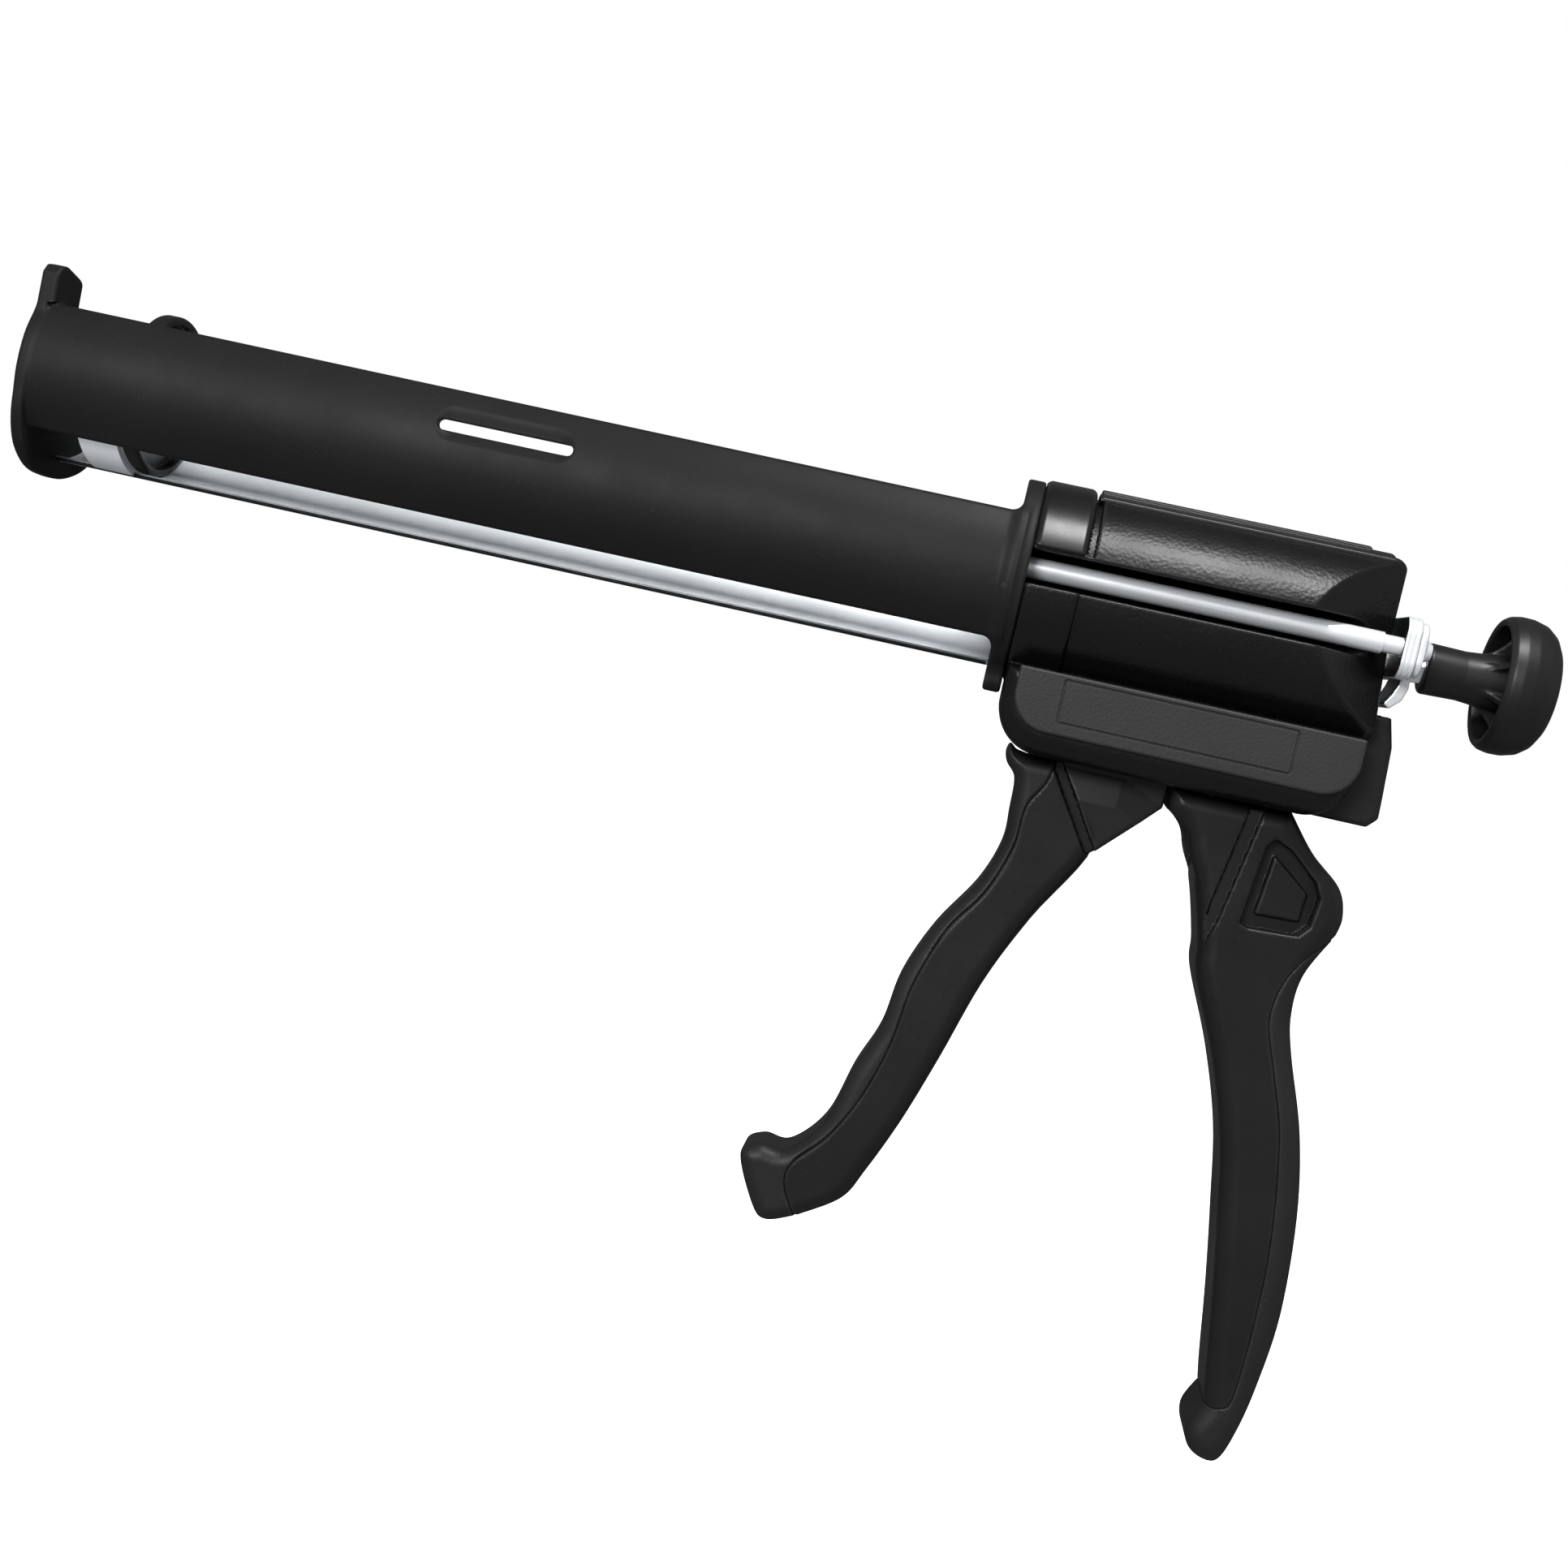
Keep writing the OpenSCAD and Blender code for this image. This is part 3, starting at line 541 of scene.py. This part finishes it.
def beyond(x, y, z, at, slope):
    """How far a point lies past the slanting plane through at, which is (x, distance from the middle)."""
    size = math.hypot(1.0, slope[0], slope[1])
    return ((x - at[0]) + slope[0] * (np.abs(y) - at[1]) + slope[1] * z) / size


def housing(x, y, z):
    """Near half, solid for y below 0."""
    r = np.hypot(y, z)
    side = np.abs(y)
    off = -9.0                                      # well inside, where a slanting corner doesn't count
    upper = meet(meet(r - BODY_R, x - 105.8, 2.8), FLANGE_BACK - x, 0.8)
    corner = np.where(z > BODY_SHELF, beyond(x, y, z, (82.2, 26.2), (1.3, 0.0)), off)
    upper = meet(upper, corner, 0.5)
    corner = np.where(z <= BODY_SHELF, beyond(x, y, z, (83.0, BODY_R), (1.2, 0.5)), off)
    upper = meet(upper, corner, 0.9)
    strap = meet(meet(r - STRAP_R, span(x, FLANGE_BACK, 20.0), 1.5), span(z, -24, 7.6))
    upper = join(upper, strap, 0.3)
    block = brick(x, z, (5.6, -46.5), (103.5, 4.0), 13.0)
    block = meet(meet(block, z - BLOCK_TOP, 1.0), side - BLOCK_Y, 6.5)
    shadow_gap = meet(meet(span(x, STRAP_END, 21.6), 26.3 - r), 9.0 - z)
    upper = cut(upper, shadow_gap, 0.4)
    body = join(upper, block, 0.8)
    body = cut(body, guide_groove(y, z), 0.7)
    body = cut(body, meet(r - 7.0, 95.5 - x), 0.3)                                      # rear bushing
    body = cut(body, meet(r - ROD_R, x - 13.0))                                         # front bushing
    body = cut(body, meet(meet(span(x, 13, 73.5), side - 11), span(z, -21, 17)))        # drive plates
    body = cut(body, meet(meet(span(x, 77.5, 95.5), side - 11), span(z, -22, 17)))      # brake plate
    body = cut(body, meet(r - 5.0, span(x, 70, 80)))                                    # drive rod
    body = cut(body, meet(meet(span(x, 18, 72), side - 8.4), z + 20.0), 0.6)            # trigger's head
    body = cut(body, meet(meet(89.5 - x, side - 9.8), z + 13.5), 0.6)                   # release lever
    return meet(body, y + 0.05, 0.35)


mirrored(("housing_near", "housing_far"), housing,
         ((4, 0.45), (7, 0.8), (19, 0.5), (22, 1.1), (79, 0.6), 106.8), ((-30.5, 0.62), (-1.2, 0.3), 0.4),
         ((-47.5, 0.6), 29), ("housing_left", "housing_right"), GRAIN_BLACK)


def collar(x, y, z):
    """The glossy band over the housing's front."""
    r = np.hypot(y, z)
    band = meet(r - STRAP_R, span(x, FLANGE_BACK, STRAP_END), 1.9)
    band = meet(band, 27.85 - r)
    return meet(band, 8.85 - z, 1.0)


piece("strap_collar", collar, ((4, 0.4), 20.5), ((-30.5, 0.5), 30.5), ((7, 0.4), 30.5), "frame",
      ["front_collar"], GLOSS_BLACK)


def rail(x, y, z):
    """The cover on top, in two steps."""
    r = np.hypot(y, z)
    low = meet(meet(r - 28.8, span(x, 20.2, 102.2), 1.0), np.abs(y) - 11, 0.45)
    high = meet(meet(r - 29.6, span(x, 20.7, 95.5), 0.4), np.abs(y) - 7, 0.35)
    return meet(join(low, high, 0.3), 27.8 - r)


piece("top_rail_cover", rail, ((18.8, 0.35), (21.8, 2.0), (93, 0.4), 104), ((-12, 0.3), 12), ((25, 0.3), 30.5),
      "frame", ["top_rail"], SMOOTH_BLACK)


def side_plate(x, y, z):
    """The block's near panel, with a rectangular groove."""
    shape = brick(x, z, (9.0, -39.8), (103.2, -13.0), 10.0)
    shape = meet(shape, z - BLOCK_TOP, 0.5)
    shape = meet(shape, span(y, -25.0, -23.4), 0.7)
    frame_line = np.abs(brick(x, z, (21.8, -36.2), (85.2, -24.5), 0.6)) - 0.3
    return cut(shape, meet(frame_line, y + 24.5), 0.12)


mirrored(("side_plate_near", "side_plate_far"), side_plate,
         ((8.6, 0.45), (12, 1.2), (20.8, 0.22), (22.8, 1.6), (84.2, 0.22), (86.2, 1.2), (100, 0.5), 104.2),
         ((-25.6, 0.25), -23.2),
         ((-43.5, 0.5), (-37.2, 0.22), (-35.2, 0.8), (-25.5, 0.22), (-22.4, 0.22), -22.2),
         ("side_panel_left", "side_panel_right"), PANEL_BLACK)


# ---------------------------------------------------------------- handles
# Outlines in the plane of X and Z. A seam divides each handle's hard core from its soft pad.
TRIGGER_FRONT = [
    (11.3, -44.8), (10.6, -47.5), (11.4, -50.4), (14.6, -54.6), (15.2, -63.5), (15.2, -73.2), (11, -85.6),
    (1.8, -100.8), (-4.5, -116.8), (-6.9, -132.7), (-11.9, -146.2), (-16.6, -162.9), (-25.4, -173.2),
    (-33.3, -173.4), (-38.2, -178), (-31.4, -192.2), (-26.6, -195.2), (-18.6, -192)]
TRIGGER_SEAM = [
    (24.8, -46.6), (23.3, -53.6), (19.3, -61.5), (18.4, -73.4), (13.4, -87.8), (5.5, -100.2), (-0.4, -118),
    (-2.8, -135.9), (-7.7, -152.9), (-14.6, -166.4), (-22.6, -175.9), (-23.6, -182.9), (-18.6, -191.9)]
TRIGGER_REAR = [
    (26.8, -46.6), (32.8, -55.6), (40.4, -68.2), (27.8, -92.2), (18.8, -112.9), (11.7, -136.9), (5.1, -157.3),
    (-1.7, -174), (-6.8, -183.7), (-18.6, -192)]
TRIGGER_TOP = [(17, -47.3), (13.4, -46.7)]
TRIGGER_HEAD = [
    (26.2, -46.8), (29, -44), (40, -40), (43, -30), (52.6, -19), (53.4, -11), (55, -9.3), (58, -10.5),
    (59, -14), (57.6, -30), (56.8, -46), (56.4, -53.6), (54.5, -55.5), (40.4, -70), (36, -68), (30, -56)]
GRIP_FRONT = [
    (57.2, -46.5), (57.4, -53), (61.2, -56.2), (63.8, -59.3), (65.8, -64.8), (69.9, -73), (74, -87.6),
    (75.7, -96.9), (85.1, -117.9), (92.6, -139.8), (97.1, -162.5), (101.1, -185.5), (104.2, -206.6),
    (105.6, -214.6)]
GRIP_SEAM = [
    (110, -77.9), (100.5, -89.2), (97.4, -103.2), (102.4, -119.1), (108.1, -137.1), (112.7, -170.3),
    (112.6, -207.8), (109.2, -214.4), (102.7, -214.4)]
GRIP_FOOT = [
    (105.6, -214.6), (102.4, -222), (104, -228.2), (108.7, -231), (113.3, -229.9), (116.4, -221.2),
    (118.9, -206.9), (120.6, -185), (118.6, -157.1), (113.9, -134), (106.4, -112.5), (103.8, -101.6),
    (104.4, -90.3), (110.2, -77.9)]
GRIP_BACK = [(110.2, -77.9), (111, -71.9), (108.2, -64.3), (99, -56.5), (90.7, -46.5)]
# What closes each seam's outline, far outside the handle.
PAST_GRIP = [(94, -216), (90, -245), (140, -245), (140, -66)]
PAST_TRIGGER = [(-17, -210), (-60, -210), (-60, -40), (25.6, -40)]
GRIP_Y, TRIGGER_Y = 13.5, 10.5      # half widths
PAD_INSET = 0.2                     # how much narrower the soft pads are
SEAM_ROUND = 0.55

grip_shape = Outline(smooth(GRIP_FRONT) + smooth(GRIP_FOOT)[1:-1] + smooth(GRIP_BACK), soften=2)
grip_split = Outline([(126, -66)] + smooth(GRIP_SEAM) + PAST_GRIP)
trigger_shape = Outline(smooth(TRIGGER_FRONT) + smooth(TRIGGER_REAR)[::-1][1:] + TRIGGER_TOP, soften=2)
trigger_split = Outline(smooth(TRIGGER_SEAM) + PAST_TRIGGER)
head_shape = Outline(TRIGGER_HEAD)
pocket_shape = Outline([(83.5, -79.5), (85.8, -57.2), (87.7, -54.8), (92.7, -56.8), (101, -64), (103, -68.1),
                        (102, -76.3), (99.3, -79.5), (85.9, -80.3)], step=0.3, soften=4)
boss_shape = Outline([(87, -76.4), (88.8, -59.2), (99.8, -67.8), (99.4, -75.9)], step=0.3, soften=4)
rib_shape = Outline([(79.4, -46), (83.4, -46), (77.6, -80), (75.2, -88.5), (73.6, -87), (74.6, -75)], step=0.3)


def grip_body(x, y, z, w):
    return meet(grip_shape(x, z), np.abs(y) - w, 5.5)


def grip_core(x, y, z):
    """The rear handle, with a rib's groove and a pocket with a boss in it on each side."""
    body = grip_body(x, y, z, GRIP_Y)
    side = np.abs(y)
    pocket = meet(pocket_shape(x, z), 9.0 - side)
    boss = meet(boss_shape(x, z), side - 10.9, 0.8)
    body = cut(body, cut(pocket, boss, 0.3), 0.9)
    body = cut(body, meet(rib_shape(x, z), 11.9 - side), 0.5)
    trigger_room = meet(meet(span(x, 50, 69), side - 9.8), -73 - z)
    body = cut(body, trigger_room, 0.8)
    return meet(body, -grip_split(x, z), SEAM_ROUND)


def grip_pad(x, y, z):
    return meet(grip_body(x, y, z, GRIP_Y - PAD_INSET), grip_split(x, z), SEAM_ROUND)


def trigger_body(x, y, z, w):
    return meet(trigger_shape(x, z), np.abs(y) - w, 4.6)


def trigger_core(x, y, z):
    """The trigger's handle, its head with the roller's fork, and a web between them that widens below."""
    side = np.abs(y)
    head = meet(head_shape(x, z), side - 7.6, 0.8)
    below = -47.2 - 0.45 * np.clip(x - 44, 0, 99) - z
    web = meet(head_shape(x, z), side - 7.5 - 1.8 * np.clip(below / 9, 0, 1), 1.2)
    head = np.minimum(head, web)
    roller = ring(x, z, 4.1, (54.85, -13))
    fork = meet(np.minimum(roller, meet(span(x, 49, 62), span(z, -18, -5))), side - 4.3)
    head = cut(head, fork)
    handle = meet(trigger_body(x, y, z, TRIGGER_Y), -trigger_split(x, z), SEAM_ROUND)
    groove = meet(bar(x, z, (23.4, -44.5), (38.9, -69.2), 1.5), 6.0 - side)
    return cut(join(head, handle, 0.8), groove, 0.7)


def trigger_pad(x, y, z):
    return meet(trigger_body(x, y, z, TRIGGER_Y - PAD_INSET), trigger_split(x, z), SEAM_ROUND)


GRIP_TICKS_Y = ((-14.2, 0.62), 14.2)
TRIGGER_TICKS_Y = ((-11.2, 0.6), 11.2)
piece("grip_moulding", grip_core, ((56.4, 0.65), 114.5), GRIP_TICKS_Y, ((-216.4, 0.75), (-93, 0.55), -45.8),
      "frame", ["grip_core"], SMOOTH_BLACK)
piece("grip_soft_back", grip_pad, ((97, 0.6), 121.4), GRIP_TICKS_Y, ((-232, 0.7), -77),
      "frame", ["grip_pad"], SOFT_BLACK)
piece("trigger_moulding", trigger_core, ((-25, 0.65), 60), TRIGGER_TICKS_Y, ((-194.5, 0.7), -8),
      "trigger", ["trigger_core"], SMOOTH_BLACK)
piece("trigger_soft_front", trigger_pad, ((-39.5, 0.6), 27), TRIGGER_TICKS_Y, ((-196.5, 0.7), -43.8),
      "trigger", ["trigger_pad"], SOFT_BLACK)


# ---------------------------------------------------------------- knob and lever
# Half of the knob's section: distance from the axis, then X.
KNOB = Outline([(-6, 117.3), (6.4, 117.3), (7.2, 118.1), (6.9, 128), (8.4, 144), (15.2, 144.3), (15.6, 140.5),
                (16.1, 136.2), (17.7, 135.8), (18.8, 137.4), (19.3, 140), (19.2, 143.2), (18.2, 146.8),
                (16.2, 149.4), (13.2, 151.2), (9, 152.2), (-6, 152.5)], step=0.2, margin=6,
               soften=6)
BLADES = 3                          # each runs right across, so it shows as two ribs


def knob(x, y, z):
    """A mushroom knob, hollow in front, with hollowed ribs from its stem to its rim."""
    r = np.hypot(y, z)
    cap = KNOB(r, x)
    hollow = 15.2 - np.hypot(r - 20.6, x - 126.0)
    for k in range(BLADES):
        a = math.pi * k / BLADES
        across = y * math.cos(a) + z * math.sin(a)
        blade = meet(meet(np.abs(across) - 0.9, r - 15.8), span(x, 126, 146))
        cap = join(cap, meet(blade, hollow, 0.4), 0.8)
    return cap


piece("pull_knob", knob, ((116.8, 0.5), 155), ((-20, 0.5), 20), ((-20, 0.5), 20), "plunger", ["knob"],
      SMOOTH_BLACK)

LEVER = Outline([(104.8, -17), (106, -15.6), (110.9, -15), (113.1, -23.5), (113.9, -38), (114.1, -43.5),
                 (111.4, -46.3), (93.5, -46.3), (91.8, -44), (91.8, -38.5), (93.5, -36.5), (101, -36.5),
                 (103.5, -34)], step=0.3, soften=3)
FINGER = Outline([(94.2, -18.5), (94.2, -22), (104, -27), (105.5, -27), (105.5, -18.5)], step=0.3)


def lever(x, y, z):
    """The release lever: a thumb pad behind the block, and a finger to the brake plate."""
    pad = meet(LEVER(x, z), np.abs(y) - 9.0, 1.6)
    finger = meet(FINGER(x, z), np.abs(y) - 3.0, 0.4)
    return cut(join(pad, finger, 0.5), ring(x, z, 1.56, (96.5, PIN_Z)))


piece("thumb_lever", lever, ((91, 0.5), 114), ((-9.6, 0.5), 9.6), ((-47, 0.5), -15.5), "release",
      ["release_lever"], SMOOTH_BLACK)


# ---------------------------------------------------------------- plunger and metal parts
def cup(x, y, z):
    """The plunger's disc, hollow in front."""
    r = np.hypot(y, z)
    body = meet(r - 23.6, span(x, -256.4, -251.4), 1.2)
    hollow = meet(r - 21.4, -254.4 - x, 0.6)
    return cut(cut(body, hollow, 0.5), r - 2.8)


piece("plunger_disc", cup, ((-257.2, 0.4), -250.6), ((-24.4, 0.6), 24.4), ((-24.4, 0.6), 24.4), "plunger",
      ["plunger_cup"], SMOOTH_BLACK)


def yoke(x, y, z):
    """The plate across both guide rods, with two lines round its rim, as of three sheets."""
    edge = brick(y, z, (-20.5, -5), (20.5, 12), 5.0)
    plate = meet(edge, span(x, YOKE_FRONT, YOKE_BACK), 0.6)
    for line in (108.5, 109.9):
        plate = cut(plate, np.hypot(x - line, edge - 0.15) - 0.3)
    return plate


yoke_plate = piece("rear_yoke_plate", yoke, ((106.8, 0.22), 111.6), ((-21, 0.45), 21), ((-5.5, 0.45), 12.5),
                   "plunger", ["rear_yoke"], ZINC)


def shade_front(obj):
    """Painted reflection: the faces towards the housing get dark steel, standing in for their reflection of
    the black housing.
    """
    obj.data.materials.append(FRONT_SHADE_STEEL)
    for face in obj.data.polygons:
        face.material_index = 1 if face.normal.x < -0.7 else 0


shade_front(yoke_plate)

TAIL = Outline([(111.2, -3), (113.4, -3), (113.5, -7), (112.4, -10.5), (109.6, -13.2), (107.6, -12.2),
                (109.4, -9.3), (110.4, -6.6)], step=0.2, soften=2)


def tail(x, y, z):
    """The strip behind the yoke, whose lower end curls forward."""
    thick = span(x, YOKE_BACK, NUT_FRONT)
    strip = meet(TAIL(x, z), np.abs(y) - 8.6, 0.5)
    head = meet(brick(y, z, (-19.5, -4), (19.5, 11), 4.5), thick, 0.8)
    return join(join(strip, head, 0.3), meet(np.hypot(y, z) - 8.0, thick, 0.5), 0.3)


tail_strip = piece("yoke_tail_strip", tail, ((106.8, 0.3), 114), ((-20.2, 0.45), 20.2), ((-14, 0.4), 11.8),
                   "plunger", ["yoke_tail"], ZINC)
shade_front(tail_strip)


def hexagon(y, z, flat):
    """A hexagon whose flats are that far from the middle."""
    d = np.abs(z) - flat
    for a in (60, 120):
        c, s = math.cos(math.radians(a)), math.sin(math.radians(a))
        d = np.maximum(d, np.abs(z * c + y * s) - flat)
    return d


def hex_nut(x, y, z):
    thick = span(x, NUT_FRONT, NUT_BACK)
    chamfer = (np.hypot(y, z) - 4.9) * 0.87 + thick * 0.5
    return meet(meet(hexagon(y, z, 4.5), thick, 0.15), chamfer)


piece("rear_hex_nut", hex_nut, ((113.0, 0.2), 117.7), ((-5.6, 0.2), 5.6), ((-5.6, 0.2), 5.6), "plunger",
      ["rod_nut"], ZINC)

# ---------------------------------------------------------------- the CAD nodes that stay in sight
PAINT = {"zinc": ZINC, "steel": STEEL, "spring": WIRE, "bronze": BRONZE, "moulding": GRAIN_BLACK,
         "moulding_gloss": SMOOTH_BLACK, "soft_grip": SOFT_BLACK, "panel": PANEL_BLACK}
SLOT_OF = {row["node"]: row["material_slot"] for row in frame["record"]["subparts"]}
for name, obj in frame["nodes"].items():
    if obj.hide_render:
        continue
    paint = SHEET_ZINC if name == "trough" else PAINT[SLOT_OF[name]]
    for held in obj.material_slots:
        held.link = "OBJECT"
        held.material = paint
    if not name.endswith("spring"):
        rounding = obj.modifiers.new("rounding", "BEVEL")
        rounding.width = 0.25 * MM
        rounding.segments = 2
        rounding.limit_method = "ANGLE"
        rounding.angle_limit = math.radians(35)


# ---------------------------------------------------------------- stage, light, camera
low_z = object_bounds()[0][2]
bpy.ops.mesh.primitive_plane_add(size=40, location=(0, 0, low_z - 0.02))
floor = bpy.context.object
floor.name = "floor"
floor_mat, floor_tree, floor_bsdf = shader("pale_floor")
floor_tone = tint(floor_tree, noise(floor_tree, 3, 2), (0.86, 0.86, 0.86), (0.90, 0.90, 0.90))
floor_tree.links.new(floor_tone, floor_bsdf.inputs["Base Color"])
for socket, value in (("Roughness", 0.9), ("Specular IOR Level", 0.1), ("Emission Color", (1, 1, 1, 1)),
                      ("Emission Strength", 0.95)):
    floor_bsdf.inputs[socket].default_value = value
floor.data.materials.append(floor_mat)
floor.visible_glossy = False
floor.visible_diffuse = False

# A soft studio: grey levels from straight below (0) to straight above (1), dimmer on the far side. The camera
# itself sees white behind the gun.
SKY = ((0.0, 0.70), (0.42, 0.75), (0.52, 0.85), (0.60, 0.95), (0.80, 0.90), (0.93, 0.5), (1.0, 0.45))
NEAR_LIGHT, FAR_LIGHT = 0.72, 0.16
world = bpy.data.worlds.new("studio")
bpy.context.scene.world = world
world.use_nodes = True
sky = world.node_tree
sky_way = node(sky, "ShaderNodeTexCoord").outputs["Generated"]
way = node(sky, "ShaderNodeSeparateXYZ", [("Vector", sky_way)])
strength = between(sky, way.outputs["Y"], -0.05, 0.55, NEAR_LIGHT, FAR_LIGHT)
ramp = node(sky, "ShaderNodeValToRGB", [("Fac", between(sky, way.outputs["Z"], -1, 1, 0, 1))])
stops = ramp.color_ramp.elements
for place, level in SKY:
    stop = stops[0] if place == 0 else stops[-1] if place == 1 else stops.new(place)
    stop.color = (level, level, level * 1.02, 1)
seen = node(sky, "ShaderNodeLightPath").outputs["Is Camera Ray"]
background = sky.nodes["Background"].inputs
sky.links.new(over(sky, seen, ramp.outputs["Color"], (1, 1, 1)), background["Color"])
sky.links.new(maths(sky, "MAXIMUM", strength, seen), background["Strength"])


def softbox(name, at, aim, size, power):
    """A rectangular lamp. at, aim and size are in metres and power is in watts."""
    data = bpy.data.lights.new(name, "AREA")
    data.shape = "RECTANGLE"
    data.size, data.size_y = size
    data.energy = power
    lamp = bpy.data.objects.new(name, data)
    bpy.context.scene.collection.objects.link(lamp)
    lamp.location = at
    lamp.rotation_euler = (Vector(aim) - Vector(at)).to_track_quat("-Z", "Y").to_euler()


softbox("over_housing", (0.09, -0.25, 0.52), (0.06, 0, 0.02), (0.24, 0.20), 6.5)
softbox("front_fill", (-0.50, -1.30, 0.40), (-0.05, 0, -0.03), (0.5, 0.4), 22.0)

# The camera stands on the near side, as fitted to the photograph.
YAW, PITCH, ROLL = math.radians(5.38), math.radians(4.833), math.radians(12.41)
CAMERA_AT = (0.002, -0.5453, -0.02483)
SENSOR, LENS = 36, 43.69            # in millimetres
ahead = Vector((-math.sin(YAW) * math.cos(PITCH), math.cos(YAW) * math.cos(PITCH), -math.sin(PITCH)))
level = Vector((math.cos(YAW), math.sin(YAW), 0))
upright = level.cross(ahead)
right = math.cos(ROLL) * level + math.sin(ROLL) * upright
up = -math.sin(ROLL) * level + math.cos(ROLL) * upright
camera_data = bpy.data.cameras.new("camera")
camera_data.sensor_width = SENSOR
camera_data.lens = LENS
camera_data.clip_start = 0.01
camera = bpy.data.objects.new("camera", camera_data)
bpy.context.scene.collection.objects.link(camera)
turn = Matrix((right, up, -ahead)).transposed().to_4x4()
camera.matrix_world = Matrix.Translation(CAMERA_AT) @ turn
bpy.context.scene.camera = camera
bpy.context.scene.view_settings.view_transform = "Standard"
